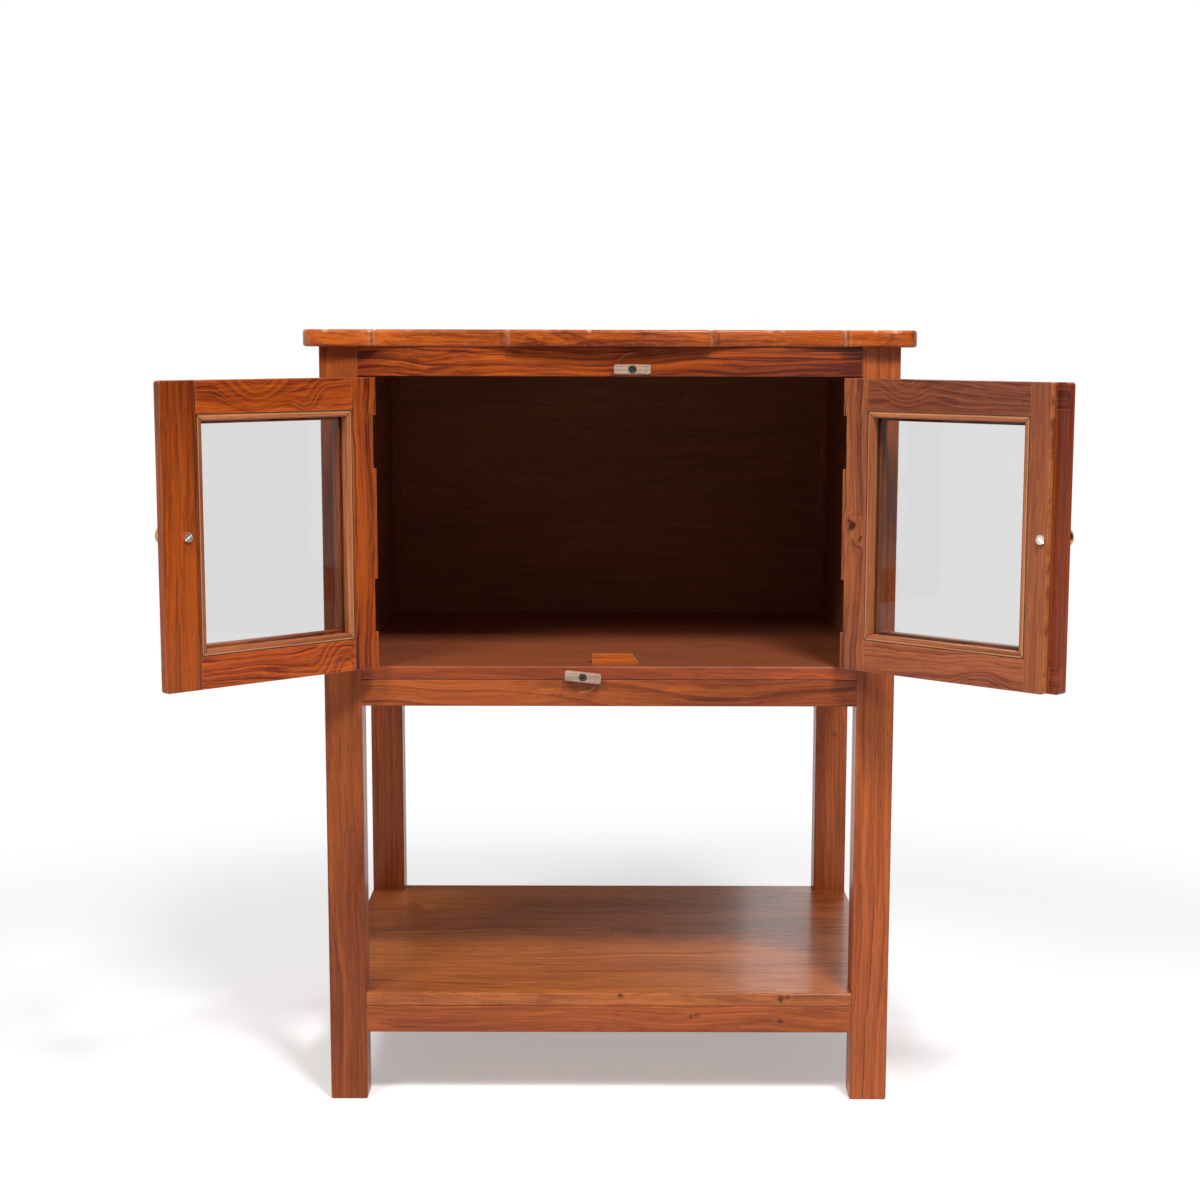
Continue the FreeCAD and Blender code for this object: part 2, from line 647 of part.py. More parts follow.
def hinge_screws(name, side, height):
    """The two screws of a leaf, for a hinge whose middle is at the given height."""
    screws = []
    for way in (-1, 1):
        place = placed(
            f"{side} * (dims.knuckle_radius - dims.leaf_thickness)", "dims.hinge_screw_reach",
            f"{height} + {way} * dims.hinge_screw_spread / 2", turned("y", -90 * side))
        screws.append(countersunk_screw(
            f"{name}_{'upper' if way > 0 else 'lower'}", "dims.hinge_screw_head",
            "dims.leaf_thickness", "dims.hinge_screw_shank", "dims.hinge_screw_length", place))
    return screws


def hinges(hand, side, pose):
    """A door's two hinges: the like pieces of both make one node."""
    frame = placed(f"{-side} * at.pin_x", "at.pin_y", "at.door_low")
    heights = {"upper": "at.door_height - dims.hinge_from_end", "lower": "dims.hinge_from_end"}
    fixed = {"frame_leaves": [], "hinge_pins": [], "frame_leaf_screws": []}
    swung = {"door_leaves": [], "door_leaf_screws": []}
    for level, height in heights.items():
        name = f"{hand}_{level}"
        rise = placed("0", "0", height)
        leaf_on_frame = hinge_leaf(f"frame_leaf_{name}", -side, (0, 2, 4))
        leaf_on_frame.setExpression("Placement", rise)
        fixed["frame_leaves"].append(leaf_on_frame)
        leaf_on_door = hinge_leaf(f"door_leaf_{name}", side, (1, 3))
        leaf_on_door.setExpression("Placement", rise)
        swung["door_leaves"].append(leaf_on_door)
        drop = placed("0", "0", f"{height} - at.half_hinge")
        bar = rod(f"pin_{name}", "dims.pin_radius", "dims.hinge_length", drop)
        fixed["hinge_pins"].append(bar)
        fixed["frame_leaf_screws"] += hinge_screws(f"frame_screw_{name}", -side, height)
        swung["door_leaf_screws"] += hinge_screws(f"door_screw_{name}", side, height)
    for place, sets in ((frame, fixed), (f"{pose}.Placement", swung)):
        for name, things in sets.items():
            pair = group(f"{name}_{hand}", things)
            pair.setExpression("Placement", place)
            node(pair, f"{name}_{hand}")


# Doors: drawn shut, with the pin's axis at x = y = 0 and the door's underside at z = 0,
# then swung open by their pose. Distances along a door are counted from the pin.

def door_block(name, side, x, y, z):
    return block(name, on_side(side, *x), y, z)


def full_height():
    return ("-dims.overrun", "at.door_height + dims.overrun")


def meeting_rebate(name, hand, side):
    """What is cut off the meeting edge: in front on the left door, behind on the right."""
    if hand == "left":
        x = ("at.left_wall", "at.left_end + dims.overrun")
        return door_block(name, side, x, ("at.door_front - dims.overrun", "at.tongue_front"),
                          full_height())
    x = ("at.right_wall", "at.right_end + dims.overrun")
    return door_block(name, side, x, ("at.lip_back", "at.door_back + dims.overrun"),
                      full_height())


def door_frame(hand, side, pose):
    end = f"at.{hand}_end"
    sight = f"at.{hand}_sight"
    knob_x = f"at.{hand}_knob"
    thickness = ("at.door_front", "at.door_back")
    rebate_depth = ("at.glass_front", "at.door_back + dims.overrun")
    tenon_y = ("at.door_tenon_front", "at.door_tenon_front + dims.door_tenon_thickness")
    mortise_y = (tenon_y[0], f"{tenon_y[1]} + dims.door_tenon_slack")
    low_tenon = ("at.door_tenon_low", "at.door_tenon_low + dims.door_tenon_height")
    high_tenon = (f"at.door_height - ({low_tenon[1]})", f"at.door_height - {low_tenon[0]}")
    through = ("at.door_edge - dims.overrun", f"{end} + dims.overrun")
    height = ("0", "at.door_height")

    mortises = [
        door_block(f"{hand}_{name}_mortise", side, through, mortise_y, z)
        for name, z in (("lower", low_tenon), ("upper", high_tenon))
    ]

    notches = []
    for level, middle in (("lower", "dims.hinge_from_end"),
                          ("upper", "at.door_height - dims.hinge_from_end")):
        reach = "at.half_hinge + dims.notch_clearance"
        notches.append(door_block(
            f"{hand}_{level}_notch", side, ("at.door_edge - dims.overrun", "dims.knuckle_radius"),
            ("at.door_front - dims.overrun", "at.door_back + dims.overrun"),
            (f"{middle} - ({reach})", f"{middle} + {reach}")))
    stile = door_block(f"{hand}_hinge_stile_blank", side,
                       ("at.door_edge", "at.hinge_sight + at.rebate"), thickness, height)
    groove = door_block(f"{hand}_hinge_stile_rebate", side,
                        ("at.hinge_sight", "at.hinge_sight + at.rebate + dims.overrun"),
                        rebate_depth, full_height())
    stile = cut(f"{hand}_hinge_stile", stile, [groove, *mortises, *notches])
    node(stile, f"hinge_stile_{hand}").setExpression("Placement", f"{pose}.Placement")

    stile = door_block(f"{hand}_meeting_stile_blank", side, (f"{sight} - at.rebate", end),
                       thickness, height)
    groove = door_block(f"{hand}_meeting_stile_rebate", side,
                        (f"{sight} - at.rebate - dims.overrun", sight),
                        rebate_depth, full_height())
    hole = rod(f"{hand}_knob_hole", "dims.knob_screw_radius + dims.knob_hole_clearance",
               "dims.door_thickness + 2 * dims.overrun",
               placed(f"{side} * {knob_x}", "at.door_back + dims.overrun",
                      "at.door_height / 2", turned("x", 90)))
    edge = meeting_rebate(f"{hand}_stile_edge", hand, side)
    shaped = cut(f"{hand}_meeting_stile", stile, [groove, *mortises, hole, edge])
    doc.recompute()
    rounded = doc.addObject("Part::Fillet", f"{hand}_meeting_stile_rounded")
    rounded.Base = shaped
    radius = value("dims.door_corner_round")
    walls = [side * value(end), side * value(f"at.{hand}_wall")]
    levels = [0, value("at.door_height")]
    rounded.Edges = [(number, radius, radius)
                     for number in edges_where(shaped.Shape, x=walls, z=levels)]
    node(rounded, f"meeting_stile_{hand}").setExpression("Placement", f"{pose}.Placement")

    for name, tenon, wide, narrow in (
        ("bottom", low_tenon, ("0", "dims.door_rail_width + at.rebate"),
         ("0", "dims.door_rail_width")),
        ("top", high_tenon, ("at.door_height - dims.door_rail_width - at.rebate",
                             "at.door_height"),
         ("at.door_height - dims.door_rail_width", "at.door_height")),
    ):
        label = f"door_{name}_rail_{hand}"
        front = door_block(f"{label}_front", side,
                           ("at.hinge_sight + at.rebate", f"{sight} - at.rebate"),
                           ("at.door_front", "at.glass_front"), wide)
        rear = door_block(f"{label}_rear", side, ("at.hinge_sight", sight),
                          ("at.glass_front", "at.door_back"), narrow)
        bar = door_block(f"{label}_tenons", side, ("at.door_edge", end), tenon_y, tenon)
        whole = fuse(f"{label}_whole", [front, rear, bar])
        trimmed = cut(label, whole, [meeting_rebate(f"{label}_edge", hand, side)])
        node(trimmed, label).setExpression("Placement", f"{pose}.Placement")


# Glazing: a sheet of glass against the front lip, held from inside by four mitred beads

def glazing(hand, side, pose):
    sight = f"at.{hand}_sight"
    low = "dims.door_rail_width"
    high = "at.door_height - dims.door_rail_width"
    near = "at.hinge_sight + dims.glass_clearance"
    sheet = doc.addObject("Part::Box", f"{hand}_glass")
    sheet.setExpression("Length", f"{sight} - dims.glass_clearance - ({near})")
    sheet.setExpression("Width", "dims.glass_thickness")
    sheet.setExpression("Height", f"{high} - ({low}) - 2 * dims.glass_clearance")
    corner = near if side > 0 else f"-({sight} - dims.glass_clearance)"
    sheet.setExpression("Placement", f"{pose}.Placement * " + placed(
        corner, "at.glass_front", f"{low} + dims.glass_clearance"))
    node(sheet, f"glass_{hand}")

    gap = "dims.bead_gap"
    wide = "dims.bead_width"
    outlines = {
        "bottom": [(f"at.hinge_sight + {gap}", low), (f"{sight} - {gap}", low),
                   (f"{sight} - {wide} - {gap}", f"{low} + {wide}"),
                   (f"at.hinge_sight + {wide} + {gap}", f"{low} + {wide}")],
        "top": [(f"at.hinge_sight + {gap}", high), (f"{sight} - {gap}", high),
                (f"{sight} - {wide} - {gap}", f"{high} - {wide}"),
                (f"at.hinge_sight + {wide} + {gap}", f"{high} - {wide}")],
        "hinge": [("at.hinge_sight", f"{low}"), ("at.hinge_sight", high),
                  (f"at.hinge_sight + {wide}", f"{high} - {wide}"),
                  (f"at.hinge_sight + {wide}", f"{low} + {wide}")],
        "meeting": [(sight, low), (sight, high), (f"{sight} - {wide}", f"{high} - {wide}"),
                    (f"{sight} - {wide}", f"{low} + {wide}")],
    }
    beads = []
    for name, corners in outlines.items():
        body = new_body(f"{hand}_bead_{name}")
        turned_corners = [(x if side > 0 else f"-({x})", z) for x, z in corners]
        face = outline(new_sketch(body, "face", "XZ_Plane", "-at.bead_front"), turned_corners)
        extrude(body, "Pad", face, "dims.bead_depth", backwards=True)
        inner = turned_corners[2]
        axis = "z" if name in ("bottom", "top") else "x"
        level = value(inner[1] if axis == "z" else inner[0])
        soften(body, "Fillet", "dims.bead_round", y=[value("at.door_back")], **{axis: [level]})
        beads.append(body)
    whole = group(f"{hand}_beads", beads)
    node(whole, f"glass_beads_{hand}").setExpression("Placement", f"{pose}.Placement")


# Knob: a brass ball turned in narrow bands, on a short neck and foot, drawn in by a machine
# screw that passes through the stile from inside

BANDS = 10


def knob(hand, side, pose):
    place = (f"{side} * at.{hand}_knob", "at.door_front", "at.door_height / 2")
    bore = "dims.knob_screw_radius + dims.knob_screw_clearance"
    slim = "dims.knob_foot_height + (dims.knob_foot - dims.knob_neck) / 2"
    ball = []
    for band in range(BANDS):
        turn = f"(at.knob_start + (180 deg - at.knob_start) * {band} / {BANDS})"
        rise = f"dims.knob_reach - dims.knob_radius - dims.knob_radius * cos({turn})"
        ball.append((f"dims.knob_radius * sin({turn})", rise))
    body = new_body(f"knob_{hand}")
    profile = new_sketch(body, "profile", "XZ_Plane")
    outline(profile, [
        (bore, "0"), ("dims.knob_foot", "0"), ("dims.knob_foot", "dims.knob_foot_height"),
        ("dims.knob_neck", slim), *ball,
        ("0", "dims.knob_reach"), ("0", "dims.knob_bore_depth"), (bore, "dims.knob_bore_depth"),
    ])
    spin(body, "Revolution", profile)
    body.setExpression("Placement", f"{pose}.Placement * " + placed(*place, turned("x", 90)))
    node(body, f"knob_{hand}")

    body = new_body(f"knob_screw_{hand}")
    profile = new_sketch(body, "profile", "XZ_Plane")
    tail = "-dims.door_thickness - dims.knob_screw_grip"
    outline(profile, [
        ("0", "dims.knob_head_height"), ("0", tail), ("dims.knob_screw_radius", tail),
        ("dims.knob_screw_radius", "0"), ("dims.knob_head_radius", "0"),
        ("dims.knob_head_radius", "dims.knob_head_height - dims.knob_head_bevel"),
        ("dims.knob_head_radius - dims.knob_head_bevel", "dims.knob_head_height"),
    ])
    spin(body, "Revolution", profile)
    slot = new_sketch(body, "slot", offset="dims.knob_head_height")
    rectangle(slot, ("-dims.knob_head_radius", "dims.knob_head_radius"),
              ("-dims.knob_head_slot / 2", "dims.knob_head_slot / 2"))
    extrude(body, "Pocket", slot, "dims.knob_head_slot")
    body.setExpression("Placement", f"{pose}.Placement * " + placed(
        place[0], "at.door_back", place[2], turned("x", -90)))
    node(body, f"knob_screw_{hand}")


def door(hand, side):
    pose = doc.addObject("Part::LocalCoordinateSystem", f"{hand}_door_pose")
    pose.setExpression("Placement", placed(
        f"{-side} * at.pin_x", "at.pin_y", "at.door_low",
        turned("z", f"{-side} * dims.door_open_angle")))
    door_frame(hand, side, pose.Name)
    glazing(hand, side, pose.Name)
    knob(hand, side, pose.Name)
    hinges(hand, side, pose.Name)


# Turn buttons: small blocks that turn on one recessed screw over the doors' edges.
# Each is drawn about its screw, its back at y = 0.

def turn_button(label, screw_label, place, tilt):
    body = new_body(label)
    half = "dims.button_length / 2"
    tall = "dims.button_height / 2"
    corner = "dims.button_round"
    right = [
        (f"{half} - {corner}", f"-{tall}"), (half, f"{corner} - {tall}"),
        (half, f"{tall} - {corner}"), (f"{half} - {corner}", tall),
    ]
    left = [(f"-({x})", z) for x, z in right]
    corners = [*right, *reversed(left)]
    arcs = {number: (corner, -1) for number in (0, 2, 4, 6)}
    face = outline(new_sketch(body, "face", "XZ_Plane"), corners, arcs)
    extrude(body, "Pad", face, "dims.button_depth")
    front = value("-dims.button_depth")
    soften(body, "Chamfer", "dims.button_edge", y=[front])
    head = "-dims.button_depth + dims.button_recess"
    wide = "dims.button_screw_head + dims.button_head_clearance"
    narrow = "dims.button_screw_shank + dims.button_play"
    bore = new_sketch(body, "bore")
    outline(bore, [
        ("0", "-dims.button_depth - dims.overrun"), (wide, "-dims.button_depth - dims.overrun"),
        (wide, head), (narrow, f"{head} + dims.button_head_height"),
        (narrow, "dims.overrun"), ("0", "dims.overrun"),
    ])
    spin(body, "Groove", bore)
    score = new_sketch(body, "score", "XZ_Plane", "dims.button_depth")
    line = f"{half} - dims.button_mark_inset"
    rectangle(score, (f"{line} - dims.button_mark_width", line),
              (f"-{tall} - dims.overrun", f"{tall} + dims.overrun"))
    extrude(body, "Pocket", score, "dims.button_mark_width")
    x, y, z = place
    body.setExpression("Placement", placed(x, y, z, turned("y", tilt)))
    node(body, label)

    depth = f"{y} - dims.button_depth + dims.button_recess"
    screw = countersunk_screw(
        screw_label, "dims.button_screw_head", "dims.button_head_height",
        "dims.button_screw_shank", "dims.button_screw_length",
        placed(x, depth, z, turned("x", 90)), "dims.button_screw_slot")
    node(screw, screw_label)


top_board()
panels = wall_panels()
rails(panels)
board("lower_shelf", "at.shelf_low")
board("floor_board", "at.floor_low")
for end in ("front", "back"):
    for side in (-1, 1):
        leg(end, side, panels)
door_stop()
door("left", 1)
door("right", -1)
turn_button(
    "turn_button_top", "turn_button_screw_top",
    ("dims.top_button_x", "at.front + dims.rail_setback - dims.button_gap",
     "at.top_rail_low + dims.top_button_rise"), "0")
turn_button(
    "turn_button_bottom", "turn_button_screw_bottom",
    ("-dims.bottom_button_x", "at.front + dims.board_setback - dims.button_gap",
     "at.floor_low + dims.bottom_button_rise"), "dims.bottom_button_tilt")

doc.recompute()
for thing in doc.Objects:
    if "Invalid" in thing.State or "Error" in thing.State:
        raise RuntimeError(f"{thing.Label} did not recompute: {thing.State}")
for label, thing in nodes.items():
    if thing.Shape.isNull() or not thing.Shape.isValid() or not thing.Shape.Solids:
        raise RuntimeError(f"{label} has no valid solid")

os.makedirs("parts", exist_ok=True)
for label, thing in nodes.items():
    thing.Shape.exportStep(f"parts/{label}.step")
print(len(nodes), "nodes,", sum(len(thing.Shape.Solids) for thing in nodes.values()), "solids")
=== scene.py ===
import math
import bmesh
import bpy
from mathutils import Euler, Matrix, Vector, noise


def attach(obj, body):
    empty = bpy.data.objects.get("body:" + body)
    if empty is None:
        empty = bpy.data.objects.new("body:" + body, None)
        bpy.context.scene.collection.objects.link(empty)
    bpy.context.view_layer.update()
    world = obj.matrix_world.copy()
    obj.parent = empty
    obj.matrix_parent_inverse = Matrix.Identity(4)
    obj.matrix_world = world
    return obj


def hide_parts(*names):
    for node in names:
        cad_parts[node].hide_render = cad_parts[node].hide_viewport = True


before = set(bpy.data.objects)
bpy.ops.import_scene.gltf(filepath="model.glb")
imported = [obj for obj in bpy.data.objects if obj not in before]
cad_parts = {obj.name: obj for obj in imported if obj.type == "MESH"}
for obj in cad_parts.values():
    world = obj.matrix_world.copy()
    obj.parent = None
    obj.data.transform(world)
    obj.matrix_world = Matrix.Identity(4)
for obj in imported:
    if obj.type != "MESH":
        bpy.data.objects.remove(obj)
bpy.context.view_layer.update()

# Legs
# Four square posts of a straight-grained red-brown hardwood, planed and lacquered, into which
# the rails and panels are let. Their arrises are taken off by hand and worn pale, and inside the
# cupboard the back ones are painted dark, as painted shade.


def put(tree, kind, inputs=None, **settings):
    """Add a node; an input that is given a socket is linked to it."""
    made = tree.nodes.new(kind)
    for name, setting in settings.items():
        setattr(made, name, setting)
    for key, given in (inputs or {}).items():
        if isinstance(given, bpy.types.NodeSocket):
            tree.links.new(given, made.inputs[key])
        else:
            made.inputs[key].default_value = given
    return made


def maths(tree, operation, *values):
    """One step of arithmetic."""
    return put(tree, "ShaderNodeMath", dict(enumerate(values)), operation=operation).outputs[0]


def vectors(tree, operation, *values):
    """One step of vector arithmetic."""
    made = put(tree, "ShaderNodeVectorMath", dict(enumerate(values)), operation=operation)
    return made.outputs[1 if operation in ("LENGTH", "DOT_PRODUCT", "DISTANCE") else 0]


def eased(tree, value, low, high, start=0.0, end=1.0):
    """Go smoothly from start to end as a value goes from low to high."""
    return put(tree, "ShaderNodeMapRange", {
        "Value": value, "From Min": low, "From Max": high, "To Min": start, "To Max": end,
    }, interpolation_type="SMOOTHSTEP").outputs[0]


def speckle(tree, place, scale, stretch=(1, 1, 1), detail=2.0):
    """Noise as a value and a colour, stretched along the axes that count for less."""
    stretched = vectors(tree, "MULTIPLY", place, stretch)
    return put(tree, "ShaderNodeTexNoise", {
        "Vector": stretched, "Scale": scale, "Detail": detail}).outputs


def mixed(tree, factor, first, second, blend="MIX"):
    """Mix two colours."""
    return put(tree, "ShaderNodeMix", {0: factor, 6: first, 7: second},
               data_type="RGBA", blend_type=blend).outputs[2]


def start_group(name, inputs, outputs):
    """A shader node group with named sockets, and its two ends."""
    made = bpy.data.node_groups.new(name, "ShaderNodeTree")
    for way, sockets in (("INPUT", inputs), ("OUTPUT", outputs)):
        for label, kind in sockets.items():
            made.interface.new_socket(label, in_out=way, socket_type="NodeSocket" + kind)
    ends = made.nodes.new("NodeGroupInput").outputs, made.nodes.new("NodeGroupOutput").inputs
    return made, *ends


def colour(red, green, blue):
    """A colour written as it looks on a screen, as linear light."""
    parts = [part / 255 for part in (red, green, blue)]
    return [p / 12.92 if p < 0.04045 else ((p + 0.055) / 1.055) ** 2.4 for p in parts] + [1]


# Growth rings lie about the tree's heart, the z axis, and fibres and pores run along it. Only
# some rings end in a dark line. A knot pushes the rings outwards where it stands.
wood_grain, given, found = start_group(
    "wood_grain", {"Place": "Vector", "Ring Width": "Float", "Sway": "Float", "Swirl": "Float",
                   "Push": "Float"},
    {"Rings": "Float", "Lines": "Float", "Streaks": "Float", "Fibre": "Float",
     "Pores": "Float", "Tone": "Float"})
bent = given["Place"]
for scale, squeeze, amount in ((9.0, 0.3, "Sway"), (26.0, 0.6, "Swirl")):
    drift = speckle(wood_grain, given["Place"], scale, (1, 1, squeeze), 2.0)[1]
    drift = vectors(wood_grain, "SUBTRACT", drift, (0.5, 0.5, 0.5))
    drift = put(wood_grain, "ShaderNodeVectorMath", {0: drift, "Scale": given[amount]},
                operation="SCALE").outputs[0]
    bent = vectors(wood_grain, "ADD", bent, drift)
radius = vectors(wood_grain, "LENGTH", vectors(wood_grain, "MULTIPLY", bent, (1, 1, 0)))
rings = maths(wood_grain, "ADD", maths(
    wood_grain, "DIVIDE", radius, given["Ring Width"]), given["Push"])
uneven = put(wood_grain, "ShaderNodeTexNoise", {"W": rings, "Scale": 0.4},
             noise_dimensions="1D").outputs[0]
rings = maths(wood_grain, "MULTIPLY_ADD", uneven, 2.6, rings)
phase = maths(wood_grain, "FRACT", rings)
chance = put(wood_grain, "ShaderNodeTexWhiteNoise", {
    "W": maths(wood_grain, "FLOOR", rings)}, noise_dimensions="1D").outputs[0]
strength = maths(wood_grain, "POWER", chance, 1.2)
fading = eased(wood_grain, speckle(wood_grain, bent, 30.0, (1, 1, 0.15))[0], 0.28, 0.5)
line = maths(wood_grain, "MULTIPLY", eased(wood_grain, phase, 0.84, 0.95),
             eased(wood_grain, phase, 1.0, 0.96))
links = {
    "Rings": maths(wood_grain, "MULTIPLY", eased(wood_grain, phase, 0.0, 0.9), maths(
        wood_grain, "MULTIPLY_ADD", eased(wood_grain, phase, 1.0, 0.9), 0.7, 0.3)),
    "Lines": maths(wood_grain, "MULTIPLY", line, maths(
        wood_grain, "MULTIPLY", strength, fading)),
    "Streaks": speckle(wood_grain, bent, 130.0, (1, 1, 0.02), 4.0)[0],
    "Fibre": speckle(wood_grain, bent, 420.0, (1, 1, 0.022), 4.0)[0],
    "Pores": eased(wood_grain, speckle(
        wood_grain, bent, 1100.0, (1, 1, 0.05), 1.0)[0], 0.58, 0.7),
    "Tone": speckle(wood_grain, bent, 11.0, (1, 1, 0.25), 3.0)[0],
}
for label, socket in links.items():
    wood_grain.links.new(socket, found[label])

# Arrises: where a bevelled normal leaves the true one, the lacquer has rubbed through.
worn_arris, given, found = start_group(
    "worn_arris", {"Place": "Vector", "Reach": "Float", "Wear": "Float"},
    {"Mask": "Float", "Normal": "Vector"})
wide = put(worn_arris, "ShaderNodeBevel", {"Radius": given["Reach"]}, samples=6).outputs[0]
true = worn_arris.nodes.new("ShaderNodeNewGeometry").outputs["True Normal"]
edge = maths(worn_arris, "SUBTRACT", 1.0, vectors(worn_arris, "DOT_PRODUCT", wide, true))
patchy = speckle(worn_arris, given["Place"], 70.0, (1, 1, 1), 4.0)[0]
rubbed = maths(worn_arris, "MULTIPLY_ADD", maths(worn_arris, "SUBTRACT", patchy, 0.5), 0.5, edge)
rubbed = eased(worn_arris, rubbed, 0.1, 0.3)
rubbed = maths(worn_arris, "MULTIPLY", rubbed, eased(worn_arris, edge, 0.01, 0.08))
worn_arris.links.new(maths(worn_arris, "MULTIPLY", rubbed, given["Wear"]), found["Mask"])
worn_arris.links.new(
    put(worn_arris, "ShaderNodeBevel", {"Radius": 0.0012}, samples=4).outputs[0], found["Normal"])


def laid(centre, along, out, off_heart, tilt=(0.0, 0.0)):
    """Turn a piece to its tree's axes, with its centre at a distance off the tree's heart.

    There z runs along the grain and x out of the piece's face.
    """
    z, x = Vector(along).normalized(), Vector(out).normalized()
    axes = Euler((*tilt, 0)).to_matrix() @ Matrix((x, z.cross(x), z))
    place = Vector((*off_heart, 0)) - axes @ Vector(centre)
    return {"Location": place, "Rotation": axes.to_euler()}


def blank_material(name):
    """A material without nodes, and its tree."""
    material = bpy.data.materials.new(name)
    material.use_nodes = True
    material.node_tree.nodes.clear()
    return material, material.node_tree


def lacquered_wood(name, place, light, dark, worn, ring_width=0.008, sway=0.03, swirl=0.004,
                   rings=0.2, lines=0.8, figure=0.85, wear=0.7, coat=0.2, shine=0.4, gloss=0.2,
                   knots=(), within=(), shade=None):
    """Lacquered wood with grain and rubbed arrises.

    A knot has a place, a size, a push on the rings and a blackness. Within the distances on some
    axes the colour is mixed towards the shade colour, a painted tone for the shade and sheen
    there,
    and the coat is left off: there it is full, and by the second one it is gone.
    """
    material, tree = blank_material(name)
    spot = put(tree, "ShaderNodeTexCoord").outputs["Object"]
    in_tree = put(tree, "ShaderNodeMapping", {"Vector": spot, **place}).outputs[0]
    push, heart = 0.0, 0.0
    ragged = speckle(tree, spot, 150.0, (1, 1, 1), 4.0)[0]
    for knot, size, rise, black in knots:
        near = vectors(tree, "DISTANCE", spot, knot)
        push = maths(tree, "ADD", push, eased(tree, near, 0.0, size, rise, 0.0))
        near = maths(tree, "MULTIPLY_ADD", maths(tree, "SUBTRACT", ragged, 0.5), size * 1.6, near)
        heart = maths(tree, "MAXIMUM", heart, eased(tree, near, size * 0.45, 0.0, 0.0, black))
    grain = put(tree, "ShaderNodeGroup", {
        "Place": in_tree, "Ring Width": ring_width, "Sway": sway, "Swirl": swirl, "Push": push},
        node_tree=wood_grain, label="grain").outputs
    arris = put(tree, "ShaderNodeGroup", {
        "Place": spot, "Reach": 0.0018, "Wear": wear}, node_tree=worn_arris).outputs
    depth = maths(tree, "MULTIPLY_ADD", grain["Rings"], rings, 0.36)
    for label, low, high, amount in (("Streaks", 0.3, 0.7, 0.45), ("Fibre", 0.36, 0.64, 0.45),
                                     ("Tone", 0.28, 0.72, 0.75)):
        share = eased(tree, grain[label], low, high, -amount * figure / 2, amount * figure / 2)
        depth = maths(tree, "ADD", depth, share)
    depth = put(tree, "ShaderNodeClamp", {0: depth}).outputs[0]
    body = mixed(tree, depth, light, dark)
    line = [part * 0.26 for part in dark[:3]] + [1]
    marks = maths(tree, "MULTIPLY_ADD", grain["Pores"], 0.35, maths(
        tree, "MULTIPLY", grain["Lines"], lines))
    body = mixed(tree, maths(tree, "MAXIMUM", marks, heart), body, line)
    body = mixed(tree, arris["Mask"], body, worn)
    coated = maths(tree, "MULTIPLY", maths(tree, "SUBTRACT", 1.0, arris["Mask"]), coat)
    # Painted shade and sheen: within the given distances the colour is mixed towards the shade.
    if within:
        axes = put(tree, "ShaderNodeSeparateXYZ", {0: spot}).outputs
        inside = 1.0
        for axis, low, high in within:
            inside = maths(tree, "MULTIPLY", inside, eased(
                tree, maths(tree, "ABSOLUTE", axes[axis]), low, high, 1.0, 0.0))
        body = mixed(tree, maths(tree, "MULTIPLY", inside, 0.6), body, shade)
        coated = maths(tree, "MULTIPLY", coated, maths(tree, "SUBTRACT", 1.0, inside))
    rough = eased(tree, grain["Fibre"], 0.2, 0.8, shine - 0.06, shine + 0.08)
    rough = maths(tree, "MULTIPLY_ADD", arris["Mask"], 0.25, rough)
    height = maths(tree, "MULTIPLY_ADD", grain["Pores"], -0.7, grain["Fibre"])
    height = maths(tree, "MULTIPLY_ADD", grain["Lines"], -0.5, height)
    bump = put(tree, "ShaderNodeBump", {
        "Strength": 0.4, "Distance": 0.0003, "Height": height, "Normal": arris["Normal"]})
    surface = put(tree, "ShaderNodeBsdfPrincipled", {
        "Base Color": body, "Roughness": rough, "Normal": bump.outputs[0],
        "Specular IOR Level": gloss, "Coat Weight": coated, "Coat Roughness": 0.14})
    put(tree, "ShaderNodeOutputMaterial", {"Surface": surface.outputs[0]})
    return material


def dress(material, *names):
    """Give CAD nodes a material."""
    for name in names:
        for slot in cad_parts[name].material_slots:
            slot.material = material


UP, FRONT, RIGHT = (0, 0, 1), (0, -1, 0), (1, 0, 0)
WORN = colour(208, 148, 104)
# The right posts are coloured lighter than the left, as painted light for the brighter light and
# sheen on that side.
POST_TINTS_AND_LIGHT = {"left": (colour(180, 90, 36), colour(108, 42, 12)),
              "right": (colour(198, 102, 48), colour(122, 50, 18))}
# The back posts' faces inside the cupboard are mixed dark, as painted shade; their knot is real.
POST_KNOTS_AND_SHADE = {"front": {}, "back": {
    "knots": [((0.274, 0.3, 0.308), 0.010, 1.5, 0.6)],
    "within": [("X", 0.264, 0.2645), ("Y", 0.3003, 0.3013), ("Z", 0.457, 0.455)],
    "shade": colour(84, 44, 24)}}
for hand, (light, dark) in POST_TINTS_AND_LIGHT.items():
    for end, marks in POST_KNOTS_AND_SHADE.items():
        dress(lacquered_wood(
            f"{end}_post_wood_{hand}", laid((0, 0, 0.4), UP, FRONT, (0.55, 0.5)), light, dark,
            WORN, ring_width=0.009, sway=0.02, lines=0.6, figure=0.6, **marks),
            f"leg_{end}_{hand}")

# Rails
# Twelve plain bars between the legs, with stub tenons: under the top board, the cupboard
# floor and the shelf. The top ones are of wilder wood than the posts, with wavy dark lines. The
# turn buttons have scratched pale arcs into the lacquer.


def found_node(tree, kind):
    """The tree's node of a kind that it has only once."""
    return next(node for node in tree.nodes if node.type == kind)


def object_place(tree):
    """The object coordinates that a material already reads."""
    return found_node(tree, "TEX_COORD").outputs["Object"]


def marked(material, mask, stain, blend="MIX"):
    """Lay a stain over a material's colour where a mask says."""
    tree = material.node_tree
    surface = found_node(tree, "BSDF_PRINCIPLED")
    body = surface.inputs["Base Color"].links[0].from_socket
    tree.links.new(mixed(tree, mask, body, stain, blend), surface.inputs["Base Color"])


